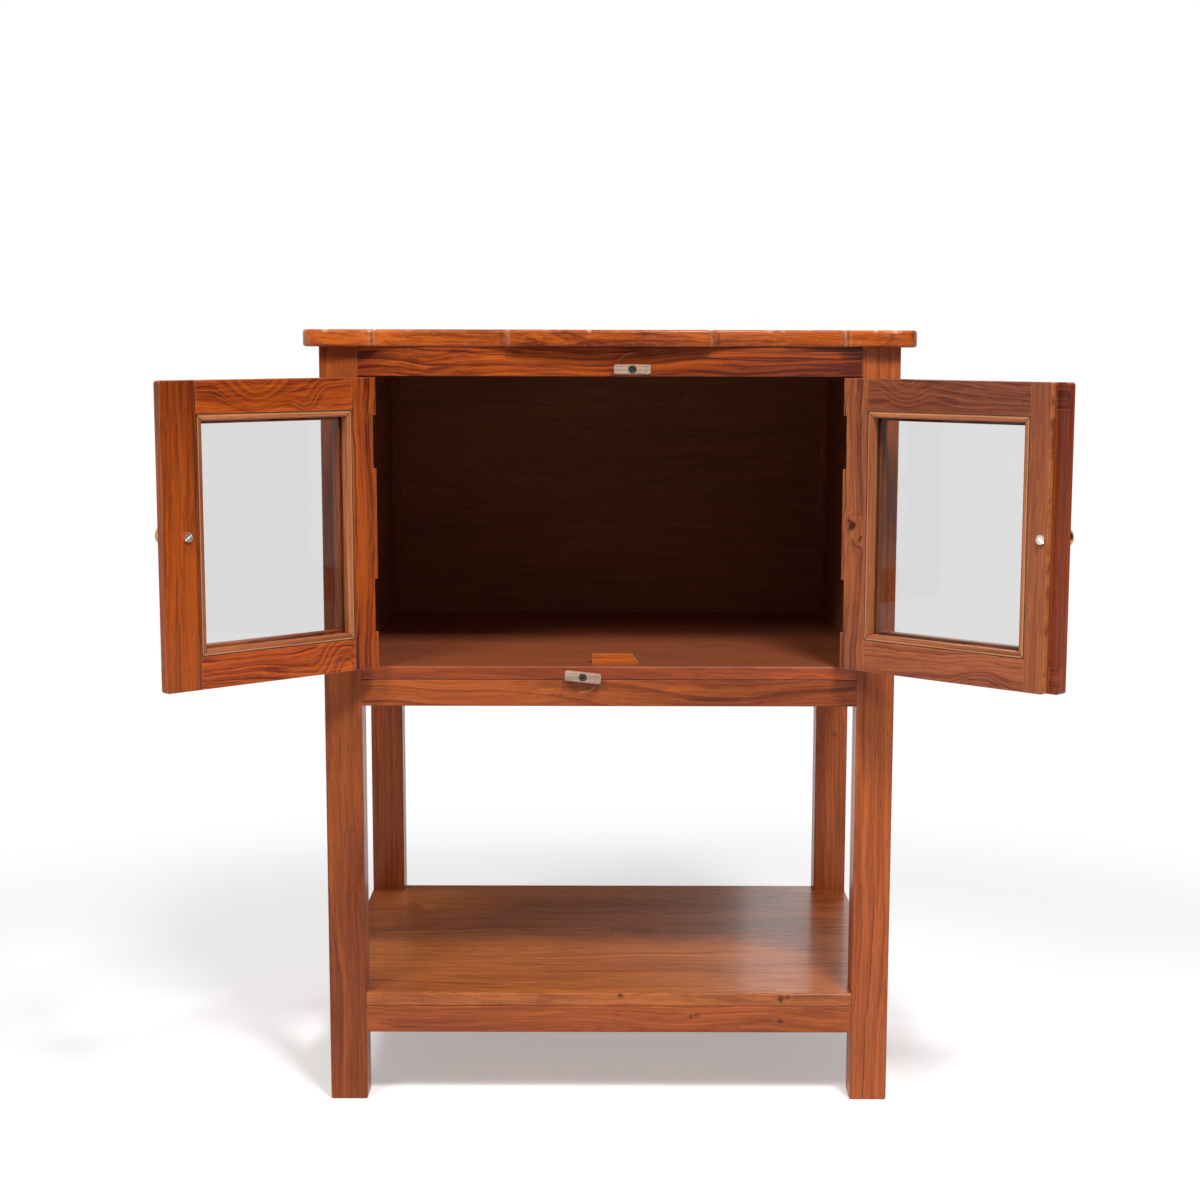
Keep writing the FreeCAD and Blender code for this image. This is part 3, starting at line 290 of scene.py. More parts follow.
def scratched(material, button, towards):
    """A pale arc about a turn button's screw, on the side that towards points to."""
    tree = material.node_tree
    spot = object_place(tree)
    x, z = BUTTONS[button]
    pin = (x, FRONT_FACE, z)
    off = maths(tree, "ABSOLUTE", maths(
        tree, "SUBTRACT", vectors(tree, "DISTANCE", spot, pin), BUTTON_REACH))
    ahead = vectors(tree, "DOT_PRODUCT", vectors(tree, "SUBTRACT", spot, pin), towards)
    arc = maths(tree, "MULTIPLY", eased(tree, off, 0.0009, 0.0003, 0.0, 0.6), eased(
        tree, ahead, BUTTON_REACH * 0.75, BUTTON_REACH * 0.95))
    marked(material, arc, WORN)


FRONT_FACE = -0.151
BUTTONS = {"top": (0.0223, 0.754), "bottom": (-0.0268, 0.4454)}
BUTTON_REACH = 0.0158
top_rail_wood = lacquered_wood(
    "top_rail_wood", laid((0, -0.14, 0.76), RIGHT, FRONT, (0.02, 0.05), (0.012, 0.0)),
    colour(192, 86, 22), colour(88, 24, 4), WORN, ring_width=0.008, sway=0.06,
    swirl=0.006, rings=0.25, lines=1.3, figure=1.1)
scratched(top_rail_wood, "top", (-0.5, 0, 0.87))
dress(top_rail_wood, "top_rail_front", "top_rail_back")
low_rail_wood = lacquered_wood(
    "low_rail_wood", laid((0, -0.14, 0.26), RIGHT, FRONT, (0.05, 0.09), (0.012, 0.0)),
    colour(184, 92, 38), colour(104, 38, 12), WORN, ring_width=0.014, sway=0.06, lines=0.6,
    figure=0.7, knots=[((0.085, FRONT_FACE, 0.088), 0.008, 0.8, 0.7),
                       ((0.092, FRONT_FACE, 0.091), 0.007, 0.4, 0.5),
                       ((0.178, FRONT_FACE, 0.083), 0.008, 0.8, 0.6)])
scratched(low_rail_wood, "bottom", (0.35, 0, -0.94))
dress(low_rail_wood, "lower_rail_front", "shelf_rail_front", "lower_rail_back",
      "shelf_rail_back")
dress(lacquered_wood(
    "rail_wood_along", laid((0.28, 0.1, 0.3), (0, 1, 0), RIGHT, (0.04, 0.06), (0.012, 0.0)),
    colour(178, 82, 30), colour(104, 38, 11), WORN, ring_width=0.009, sway=0.05),
    "top_rail_left", "top_rail_right", "lower_rail_left", "lower_rail_right",
    "shelf_rail_left", "shelf_rail_right")

# Wall panels
# Two side panels and a back panel, flat boards with the grain lying level, slid into the
# legs' grooves. Inside the cupboard a greyer brown is painted on them for the shade and sheen
# there, and they are left without lacquer.

# Painted shade and sheen: the greyer brown mixed into the panels inside the cupboard.
PANEL_SHADE = colour(126, 88, 62)
dress(lacquered_wood(
    "back_panel_wood", laid((-0.07, 0.31, 0.7), RIGHT, FRONT, (0.012, 0.02), (0.03, 0.06)),
    colour(174, 88, 38), colour(104, 42, 15), WORN, ring_width=0.014, sway=0.07, lines=0.5,
    figure=0.8, wear=0.2, shine=0.5, gloss=0.15, within=[("Y", 0.318, 0.322)],
    shade=PANEL_SHADE),
    "back_panel")
dress(lacquered_wood(
    "side_panel_wood", laid((0.26, 0.1, 0.6), (0, 1, 0), RIGHT, (0.02, 0.05), (0.02, 0.02)),
    colour(174, 86, 36), colour(106, 42, 14), WORN, ring_width=0.011, sway=0.05,
    figure=0.6, wear=0.3, shine=0.45, gloss=0.15, within=[("X", 0.268, 0.272)],
    shade=PANEL_SHADE),
    "side_panel_left", "side_panel_right")

# Boards
# The shelf and the cupboard floor: wide boards laid on the rails and notched round the legs.
# Their lacquer is the glossiest of the cabinet; the shelf's front edge is coloured darker than its
# top, and the floor's top is left dull and painted a greyer brown, a painted sheen.

shelf_wood = lacquered_wood(
    "shelf_wood", laid((0.1, 0.1, 0.11), RIGHT, UP, (0.05, 0.10), (0.0, 0.02)),
    colour(204, 118, 56), colour(122, 54, 26), colour(120, 60, 30), ring_width=0.016,
    sway=0.10, swirl=0.01, lines=0.4, figure=0.7, wear=0.2, coat=0.3, shine=0.32,
    knots=[((0.036, 0.107, 0.114), 0.05, 2.0, 0.2), ((0.012, FRONT_FACE, 0.112), 0.007, 1.0, 0.8),
           ((0.178, FRONT_FACE, 0.108), 0.010, 1.2, 0.8),
           ((0.186, FRONT_FACE, 0.110), 0.008, 0.6, 0.7),
           ((0.075, 0.09, 0.114), 0.014, 1.0, 0.4), ((-0.21, 0.05, 0.114), 0.03, 2.0, 0.2)])
tree = shelf_wood.node_tree
back = put(tree, "ShaderNodeSeparateXYZ", {0: object_place(tree)}).outputs["Y"]
# The shelf's front edge is multiplied darker than its top.
marked(shelf_wood, eased(tree, back, FRONT_FACE + 0.0005, FRONT_FACE), (0.85, 0.76, 0.66, 1),
       "MULTIPLY")
dress(shelf_wood, "lower_shelf")
# The floor's top is mixed to a greyer brown, as painted sheen.
dress(lacquered_wood(
    "floor_wood", laid((-0.1, 0.1, 0.45), RIGHT, UP, (0.07, 0.14), (0.0, 0.02)),
    colour(176, 76, 20), colour(106, 40, 10), colour(190, 110, 62), ring_width=0.012,
    sway=0.08, wear=0.5, coat=0.3, gloss=0.3, within=[("Z", 0.4555, 0.4545)],
    shade=colour(138, 84, 60)), "floor_board")

# Door stop
# A small bevelled block of barely lacquered wood, coloured bright as painted light for the light
# on its front face. It is glued on the floor board just behind the closed doors.

# Painted light: the stop's bright colour stands in for the light on its front face.
dress(lacquered_wood(
    "stop_wood", laid((0, -0.12, 0.46), RIGHT, FRONT, (0.04, 0.05)),
    colour(204, 104, 38), colour(150, 66, 20), colour(226, 160, 110), ring_width=0.006,
    sway=0.02, gloss=0.1, coat=0.05), "door_stop")

# Top board
# One lacquered plank on the rails, scalloped along the front: a centre lobe, two hollows and two
# corner lobes that meet in cusps. Its arrises are rounded by hand, rubbed and chipped to the bare
# wood; by the cusps the front is worn pale in bands, with painted shade in dark bands beside them.

TOP_HALF, TOP_FRONT, TOP_BACK, TOP_LOW, TOP_HIGH = 0.305, -0.166, 0.348, 0.776, 0.793
CUSP_BACK, COVE, HOLLOW, CORNER, BACK_CORNER = 0.005, 0.005, 0.003, 0.020, 0.006
CENTRE_CUSP, CORNER_CUSP = 0.328 * TOP_HALF, 0.761 * TOP_HALF
ARRIS_ROUND, ARC_STEP, SIDE_STEP = 0.0028, 0.0018, 0.004
BARE_BANDS = ((0.1008, 0.0022), (0.1133, 0.0018), (0.2323, 0.0022), (0.2381, 0.0012))
# Painted shade: dark upright bands on the front face beside the cusps.
SHADE_BANDS = ((0.1080, 0.0045), (0.0975, 0.0015), (0.2354, 0.0026))
CHIPS = ((-0.281, 0.0035), (-0.2355, 0.003), (0.2815, 0.0035), (0.262, 0.002), (-0.02, 0.002))


def bow(start, end, radius, side):
    """Points from start towards end along an arc that bulges to one side; end is left out."""
    start, end = Vector(start), Vector(end)
    half = (end - start) / 2
    normal = Vector((-half.y, half.x)).normalized() * side
    centre = start + half - normal * math.sqrt(max(radius ** 2 - half.length ** 2, 0))
    spread = 2 * math.asin(min(half.length / radius, 1)) * -side
    count = max(int(abs(spread) * radius / ARC_STEP), 4)
    turns = [spread * number / count for number in range(count)]
    return [centre + Matrix.Rotation(turn, 2) @ (start - centre) for turn in turns]


def straight(start, end):
    """Points from start towards end; end is left out."""
    start, end = Vector(start), Vector(end)
    count = max(int((end - start).length / SIDE_STEP), 1)
    return [start.lerp(end, number / count) for number in range(count)]


reach = COVE + HOLLOW
half_hollow = (CORNER_CUSP - CENTRE_CUSP) / 2 - COVE
hollow_radius = (half_hollow ** 2 + reach ** 2 - COVE ** 2) / (2 * HOLLOW)
cove_scale = COVE / (hollow_radius - COVE)
cove_run = COVE - cove_scale * half_hollow
cusp = TOP_FRONT + CUSP_BACK
cove = cusp + cove_scale * (hollow_radius - reach)
centre_radius = (CENTRE_CUSP ** 2 + CUSP_BACK ** 2) / (2 * CUSP_BACK)
lobe_run = TOP_HALF - CORNER - CORNER_CUSP
lobe_radius = (lobe_run ** 2 + CUSP_BACK ** 2) / (2 * CUSP_BACK)
corners = [
    (CENTRE_CUSP, cusp), (CENTRE_CUSP + cove_run, cove), (CORNER_CUSP - cove_run, cove),
    (CORNER_CUSP, cusp), (TOP_HALF - CORNER, TOP_FRONT), (TOP_HALF, TOP_FRONT + CORNER),
    (TOP_HALF, TOP_BACK - BACK_CORNER), (TOP_HALF - BACK_CORNER, TOP_BACK)]
bows = [(COVE, 1), (hollow_radius, 1), (COVE, 1), (lobe_radius, -1), (CORNER, -1), None,
        (BACK_CORNER, -1), None]
corners += [(-x, y) for x, y in reversed(corners)]
bows += list(reversed(bows[:-1])) + [(centre_radius, -1)]
plan = []
for number, curve in enumerate(bows):
    ends = corners[number], corners[(number + 1) % len(corners)]
    plan += bow(*ends, *curve) if curve else straight(*ends)

inward = []
for number, point in enumerate(plan):
    before = (point - plan[number - 1]).normalized()
    after = (plan[(number + 1) % len(plan)] - point).normalized()
    across = Vector((-before.y - after.y, before.x + after.x)) / 2
    inward.append(across / max(across.length_squared, 0.5))


def bruised(point, level):
    """How far an arris is worn back at a point, and how much of its lacquer is gone."""
    spot = Vector((point.x, point.y, level))
    rough = noise.noise(spot * 55) * 0.5 + noise.noise(spot * 210) * 0.5
    bare = max(rough * 1.6 - 0.35, 0)
    for x, width in CHIPS:
        if point.y < 0 and level > TOP_LOW:
            bare = max(bare, 1.3 - abs(point.x - x) / width)
    return ARRIS_ROUND * (1 + 0.25 * rough + 0.5 * min(bare, 1)), min(bare, 1)


def cusp_wear_and_shade(point, level):
    """Bare wood, and painted shade, in upright bands on the front face by the cusps."""
    if point.y > cove + 0.0005:
        return 0.0, 0.0
    rough = 0.6 + 0.5 * noise.noise(Vector((point.x * 300, 0.0, level * 260)))
    out = abs(point.x)
    bare = max(1 - abs(out - x) / width for x, width in BARE_BANDS)
    dark = max(1 - abs(out - x) / width for x, width in SHADE_BANDS)
    return max(bare, 0) * rough, max(dark, 0) * rough


top_mesh = bmesh.new()
bare_wood = top_mesh.verts.layers.float.new("bare_wood")
cusp_shade = top_mesh.verts.layers.float.new("cusp_shade")
ROUND_STEPS, FACE_ROWS, CAP_INSET = 5, 6, 1.8
FACE_HEIGHT = TOP_HIGH - TOP_LOW - 2.2 * ARRIS_ROUND
levels = [(TOP_LOW, 1, step / ROUND_STEPS, 0.0) for step in range(-1, ROUND_STEPS + 1)]
levels += [(TOP_LOW, 1, 1.0, step / FACE_ROWS) for step in range(1, FACE_ROWS)]
levels += [(TOP_HIGH, -1, 1 - step / ROUND_STEPS, 0.0) for step in range(ROUND_STEPS + 2)]
rows = []
for level, way, share, up in levels:
    row = []
    for point, across in zip(plan, inward):
        size, bare = bruised(point, level)
        if share < 0:
            inset, rise = CAP_INSET * size, 0.0
        else:
            inset = size * (1 - math.sin(share * math.pi / 2))
            rise = size * (1 - math.cos(share * math.pi / 2)) + FACE_HEIGHT * up
        spot = point + across * inset
        vertex = top_mesh.verts.new((spot.x, spot.y, level + way * rise))
        if share >= 0:
            rubbed, shaded = cusp_wear_and_shade(point, level + way * rise)
            vertex[bare_wood] = max(rubbed, bare * math.sin(math.pi * min(share + 0.15, 1)))
            vertex[cusp_shade] = shaded
        row.append(vertex)
    rows.append(row)
for lower, upper in zip(rows, rows[1:]):
    for number in range(len(plan)):
        after = (number + 1) % len(plan)
        face = top_mesh.faces.new((lower[number], lower[after], upper[after], upper[number]))
        face.smooth = True
top_mesh.faces.new(list(reversed(rows[0])))
top_mesh.faces.new(rows[-1])
bmesh.ops.recalc_face_normals(top_mesh, faces=top_mesh.faces)


def added(name, data):
    """An object of some data, put into the scene."""
    made = bpy.data.objects.new(name, data)
    bpy.context.scene.collection.objects.link(made)
    return made


def finished(name, shape, material, body, node):
    """Make a piece of a bmesh, and let it ride in the place of the CAD node it stands for."""
    mesh = bpy.data.meshes.new(name)
    shape.to_mesh(mesh)
    shape.free()
    mesh.materials.append(material)
    piece = added(name, mesh)
    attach(piece, body)
    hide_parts(node)


RUBBED = colour(216, 158, 112)
top_wood = lacquered_wood(
    "top_wood", laid((0, 0, 0.785), RIGHT, UP, (0.045, 0.09), (0.0, 0.015)),
    colour(204, 98, 26), colour(114, 38, 8), RUBBED, ring_width=0.009, sway=0.07, lines=0.8,
    figure=1.1, wear=0.25, shine=0.36)
tree = top_wood.node_tree
flecks = speckle(tree, object_place(tree), 420.0, (0.4, 1, 1), 3.0)[0]
marked(top_wood, eased(tree, flecks, 0.55, 0.75, 0.0, 0.22), RUBBED)
# Bare wood is worn pale; the dark bands by the cusps are painted shade.
for mask, amount, stain in (("bare_wood", 0.75, colour(220, 176, 138)),
                            ("cusp_shade", 0.8, colour(70, 28, 14))):
    painted = put(tree, "ShaderNodeAttribute", attribute_name=mask).outputs["Fac"]
    marked(top_wood, maths(tree, "MULTIPLY", painted, amount), stain)
finished("scalloped_top", top_mesh, top_wood, "carcass", "top_board")

# Door frames
# Two stiles and two rails to a door, with through tenons, of lacquered wood that is pinker in
# the right door. The rails have swirls and the right hinge stile knots. In the right door's
# rebate, shade is painted dark on its floor and along its wall, which is rubbed pale higher up,
# and a reddish-purple reflection is painted on the lip's end. Both doors stand open at 135
# degrees.

HANDS = {"left": 1, "right": -1}
PIN_OUT, PIN_FRONT, DOOR_LOW, DOOR_HEIGHT = 0.2486, -0.1532, 0.457, 0.289
DOOR_FRONT, DOOR_BACK, DOOR_OPEN = 0.0027, 0.0227, 135
door_turn, door_place = {}, {}
for hand, side in HANDS.items():
    door_turn[hand] = Matrix.Rotation(math.radians(-DOOR_OPEN * side), 3, "Z")
    pin = Matrix.Translation((-PIN_OUT * side, PIN_FRONT, DOOR_LOW))
    door_place[hand] = pin @ door_turn[hand].to_4x4()
TINTS = {
    "left": (colour(183, 83, 22), colour(92, 27, 5)),
    "right": (colour(182, 102, 60), colour(98, 38, 25)),
}
RAIL_TINTS = {"left": {"top": 1.55, "bottom": 1.85}, "right": {"top": 0.9, "bottom": 1.3}}
HINGE_MIDDLE, MEETING_MIDDLE, RAIL_MIDDLE, FRAME_DEPTH, FRAME_LEVEL = (
    0.014, 0.235, 0.12, 0.013, 0.14)
FIGURES = {"left": {"hinge": 1.15, "meeting": 1.0, "rails": 0.65},
           "right": {"hinge": 0.85, "meeting": 0.6, "rails": 0.55}}
RAIL_LINES = {"left": 1.4, "right": 0.7}
SWIRLS = {
    "left": [((0.141, DOOR_BACK, 0.285), 0.055, 5.0, 0.0),
             ((0.040, DOOR_BACK, 0.016), 0.045, 4.0, 0.2),
             ((0.085, DOOR_BACK, 0.262), 0.035, 3.0, 0.0)],
    "right": [((-0.075, DOOR_BACK, 0.285), 0.035, 3.0, 0.0),
              ((-0.17, DOOR_BACK, 0.0), 0.04, 1.5, 0.0)],
}
KNOTS = {"left": [], "right": [((-0.0113, DOOR_BACK, 0.1449), 0.018, 2.5, 0.9),
                               ((-0.012, DOOR_BACK, 0.127), 0.016, 1.0, 0.35)]}
PITS = {"left": [], "right": [((-0.2436, 0.0147, level), size, 0.0, 1.0) for level, size in (
    (0.278, 0.007), (0.274, 0.008), (0.270, 0.007), (0.030, 0.006))]}


def from_pin(hand, spots):
    """Knots whose places are measured from the door's pin."""
    return [(door_place[hand] @ Vector(spot), *rest) for spot, *rest in spots]


for hand, side in HANDS.items():
    light, dark = TINTS[hand]
    across = door_turn[hand] @ Vector((side, 0, 0))
    out = door_turn[hand] @ Vector((0, 1, 0))
    hinge_place, meeting_place, rail_place = (
        door_place[hand] @ Vector((far * side, FRAME_DEPTH, FRAME_LEVEL))
        for far in (HINGE_MIDDLE, MEETING_MIDDLE, RAIL_MIDDLE))
    dress(lacquered_wood(
        f"hinge_stile_wood_{hand}", laid(hinge_place, UP, out, (0.012, 0.03), (0.03, 0.02)),
        light, dark, WORN, ring_width=0.010, sway=0.03, swirl=0.008, rings=0.25, lines=1.3,
        figure=FIGURES[hand]["hinge"], knots=from_pin(hand, KNOTS[hand])), f"hinge_stile_{hand}")
    dress(lacquered_wood(
        f"meeting_stile_wood_{hand}", laid(meeting_place, UP, out, (0.10, 0.12), (0.01, 0.0)),
        light, dark, WORN, ring_width=0.014, sway=0.02, lines=0.8,
        figure=FIGURES[hand]["meeting"], knots=from_pin(hand, PITS[hand])),
        f"meeting_stile_{hand}")
    for level, paler in RAIL_TINTS[hand].items():
        dress(lacquered_wood(
            f"door_{level}_rail_wood_{hand}",
            laid(rail_place, across, out, (0.012, 0.10), (0.03, 0.04)),
            [part * paler for part in light[:3]] + [1], [part * paler for part in dark[:3]] + [1],
            WORN, ring_width=0.0065, sway=0.06, swirl=0.009, rings=0.35,
            lines=RAIL_LINES[hand], figure=FIGURES[hand]["rails"],
            knots=from_pin(hand, SWIRLS[hand])), f"door_{level}_rail_{hand}")
REBATE_WALL, REBATE_FLOOR, RUBBED_HIGH, LIP_END = 0.2429, 0.0138, 0.0168, 0.2538
pin = (PIN_OUT, PIN_FRONT, 0)
across, out = (tuple(door_turn["right"] @ Vector(way)) for way in ((-1, 0, 0), (0, 1, 0)))
for name in ("meeting_stile_right", "door_top_rail_right", "door_bottom_rail_right"):
    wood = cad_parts[name].material_slots[0].material
    tree = wood.node_tree
    spot = vectors(tree, "SUBTRACT", object_place(tree), pin)
    far, deep = (vectors(tree, "DOT_PRODUCT", spot, way) for way in (across, out))
    # Painted shade: the rebate's floor is multiplied dark.
    rebate = maths(tree, "MULTIPLY", eased(
        tree, far, REBATE_WALL + 0.0004, REBATE_WALL + 0.0011), eased(
        tree, deep, REBATE_FLOOR, REBATE_FLOOR + 0.0003))
    marked(wood, rebate, (0.55, 0.36, 0.33, 1), "MULTIPLY")
    # Painted reflection: the lip's end is multiplied to a reddish purple.
    lip = eased(tree, far, LIP_END, LIP_END + 0.0005)
    marked(wood, lip, (0.95, 0.62, 0.62, 1), "MULTIPLY")
    # Painted shade: a dark line along the rebate's wall; higher up the wall is rubbed pale.
    off = maths(tree, "ABSOLUTE", maths(tree, "SUBTRACT", far, REBATE_WALL))
    wall = eased(tree, off, 0.0014, 0.0004)
    marked(wood, wall, (0.8, 0.6, 0.5, 1), "MULTIPLY")
    high = eased(tree, deep, RUBBED_HIGH, RUBBED_HIGH + 0.0014)
    rubbed = maths(tree, "MULTIPLY", maths(tree, "MULTIPLY", wall, high), eased(
        tree, speckle(tree, spot, 90.0)[0], 0.3, 0.6, 0.0, 0.8))
    marked(wood, rubbed, colour(206, 124, 68))

# Glazing
# A sheet of plain window glass in each door, held from inside by four mitred beads of paler
# wood. The beads were cut a little short, and dark gaps show at their corners.


def window_glass():
    """Clear glass that lets light through to what stands behind it."""
    material, tree = blank_material("window_glass")
    spot = put(tree, "ShaderNodeTexCoord").outputs["Object"]
    haze = speckle(tree, spot, 22.0, (1, 1, 1), 4.0)[0]
    clear = put(tree, "ShaderNodeBsdfPrincipled", {
        "Base Color": (0.72, 0.72, 0.72, 1), "Transmission Weight": 1.0, "IOR": 1.3,
        "Roughness": eased(tree, haze, 0.45, 0.8, 0.0, 0.04)})
    rays = put(tree, "ShaderNodeLightPath").outputs
    passing = maths(tree, "MAXIMUM", rays["Is Shadow Ray"], rays["Is Diffuse Ray"])
    through = put(tree, "ShaderNodeBsdfTransparent", {"Color": (0.9, 0.92, 0.91, 1)})
    both = put(tree, "ShaderNodeMixShader", {
        0: passing, 1: clear.outputs[0], 2: through.outputs[0]})
    put(tree, "ShaderNodeOutputMaterial", {"Surface": both.outputs[0]})
    return material


dress(window_glass(), "glass_left", "glass_right")
SIGHT_START, SIGHT_HALF_HEIGHT, BEAD_DEPTH = 0.0286, 0.1135, 0.02
SIGHT_END = {"left": 0.2126, "right": 0.2201}
BEAD_GAP, MITRE_GAP, BEAD_ARRIS = 0.0007, 0.0003, 0.0019
BEAD_PALE = colour(236, 190, 146)
for hand, side in HANDS.items():
    half_width = (SIGHT_END[hand] - SIGHT_START) / 2
    centre = door_place[hand] @ Vector((
        (SIGHT_START + half_width) * side, BEAD_DEPTH, DOOR_HEIGHT / 2))
    bead_wood = lacquered_wood(
        f"bead_wood_{hand}", laid(centre, UP, door_turn[hand] @ Vector((0, 1, 0)), (0, 0)),
        colour(206, 126, 78), colour(140, 72, 38), BEAD_PALE, ring_width=0.005, sway=0.01,
        figure=0.6, wear=1.0, shine=0.5)
    tree = bead_wood.node_tree
    mapped = found_node(tree, "MAPPING").outputs[0]
    x, y, z = put(tree, "ShaderNodeSeparateXYZ", {0: mapped}).outputs
    from_side = maths(tree, "SUBTRACT", half_width, maths(tree, "ABSOLUTE", y))
    from_top = maths(tree, "SUBTRACT", SIGHT_HALF_HEIGHT, maths(tree, "ABSOLUTE", z))
    level = maths(tree, "GREATER_THAN", from_side, from_top)
    lying = put(tree, "ShaderNodeCombineXYZ", {"X": x, "Y": z, "Z": y}).outputs[0]
    along = put(tree, "ShaderNodeMix", {0: level, 4: mapped, 5: lying}, data_type="VECTOR")
    grain = next(node for node in tree.nodes if node.label == "grain")
    tree.links.new(vectors(tree, "ADD", along.outputs[1], (0.06, 0.06, 0)), grain.inputs["Place"])
    mitre = maths(tree, "ABSOLUTE", maths(tree, "SUBTRACT", from_side, from_top))
    edge = maths(tree, "MINIMUM", from_side, from_top)
    gap = maths(tree, "MAXIMUM", eased(tree, mitre, MITRE_GAP + 0.0004, MITRE_GAP),
                eased(tree, edge, BEAD_GAP + 0.0006, BEAD_GAP))
    rubbed = maths(tree, "MULTIPLY", eased(tree, edge, BEAD_ARRIS - 0.0006, BEAD_ARRIS - 0.0001),
                   eased(tree, edge, BEAD_ARRIS + 0.0007, BEAD_ARRIS, 0.0, 0.45))
    marked(bead_wood, rubbed, BEAD_PALE)
    marked(bead_wood, maths(tree, "MULTIPLY", gap, 0.9), colour(44, 16, 8))
    dress(bead_wood, f"glass_beads_{hand}")

# Knobs
# A turned brass ball on each door's front, with a short neck and a foot. A bright slotted machine
# screw passes through the stile from inside and draws it in.

KNOB_SIDES, BALL_ROWS = 48, 24


def lathed(profile):
    """A closed turning about the z axis, of (radius, height) pairs that start and end at 0."""
    shape = bmesh.new()
    rounds = []
    for radius, height in profile:
        if radius == 0:
            rounds.append([shape.verts.new((0, 0, height))])
            continue
        angles = [2 * math.pi * number / KNOB_SIDES for number in range(KNOB_SIDES)]
        rounds.append([shape.verts.new((radius * math.cos(a), radius * math.sin(a), height))
                       for a in angles])
    for lower, upper in zip(rounds, rounds[1:]):
        for number in range(KNOB_SIDES):
            after = (number + 1) % KNOB_SIDES
            corners = [lower[number % len(lower)], lower[after % len(lower)],
                       upper[after % len(upper)], upper[number % len(upper)]]
            shape.faces.new(list(dict.fromkeys(corners))).smooth = True
    bmesh.ops.recalc_face_normals(shape, faces=shape.faces)
    return shape


def metal(name, bright, dull, rough, patch=90.0):
    """Metal with cloudy tarnish and fine rubbing marks."""
    material, tree = blank_material(name)
    spot = put(tree, "ShaderNodeTexCoord").outputs["Object"]
    cloud = speckle(tree, spot, patch, (1, 1, 1), 4.0)[0]
    marks = speckle(tree, spot, 1500.0, (1, 1, 0.2), 2.0)[0]
    tarnish = eased(tree, cloud, 0.4, 0.7)
    body = mixed(tree, tarnish, bright, dull)
    roughness = maths(tree, "MULTIPLY_ADD", tarnish, 0.15, eased(
        tree, marks, 0.3, 0.7, rough - 0.04, rough + 0.06))
    bump = put(tree, "ShaderNodeBump", {"Strength": 0.1, "Distance": 0.0001, "Height": marks})
    surface = put(tree, "ShaderNodeBsdfPrincipled", {
        "Base Color": body, "Metallic": 1.0, "Roughness": roughness, "Normal": bump.outputs[0]})
    put(tree, "ShaderNodeOutputMaterial", {"Surface": surface.outputs[0]})
    return material


KNOB_BALL, KNOB_REACH, KNOB_NECK, KNOB_FOOT = 0.011, 0.025, 0.0045, 0.0065
KNOB_OUT = {"left": 0.2251, "right": 0.2358}
knob_brass = metal("knob_brass", colour(222, 180, 116), colour(160, 116, 66), 0.2)
bright_brass = metal("bright_brass", colour(236, 232, 226), colour(200, 194, 184), 0.25)
for hand, side in HANDS.items():
    start = math.asin(KNOB_NECK / KNOB_BALL)
    profile = [(0, 0), (KNOB_FOOT - 0.0003, 0), (KNOB_FOOT, 0.0003), (KNOB_FOOT, 0.0013),
               (KNOB_FOOT - 0.0005, 0.0018), (KNOB_NECK + 0.0003, 0.0026), (KNOB_NECK, 0.0032)]
    for step in range(BALL_ROWS + 1):
        turn = start + (math.pi - start) * step / BALL_ROWS
        profile.append((KNOB_BALL * math.sin(turn) if step < BALL_ROWS else 0,
                        KNOB_REACH - KNOB_BALL - KNOB_BALL * math.cos(turn)))
    shape = lathed(profile)
    stand = Matrix.Translation((KNOB_OUT[hand] * side, DOOR_FRONT, DOOR_HEIGHT / 2))
    shape.transform(door_place[hand] @ stand @ Matrix.Rotation(math.pi / 2, 4, "X"))
    finished(f"brass_knob_{hand}", shape, knob_brass, f"{hand}_door",
             f"knob_{hand}")

# Screws
# Slotted screws: countersunk steel ones in the hinge leaves, darker ones in the turn buttons, and
# the knobs' bright cheese-headed machine screws. One tree of nodes makes them all.


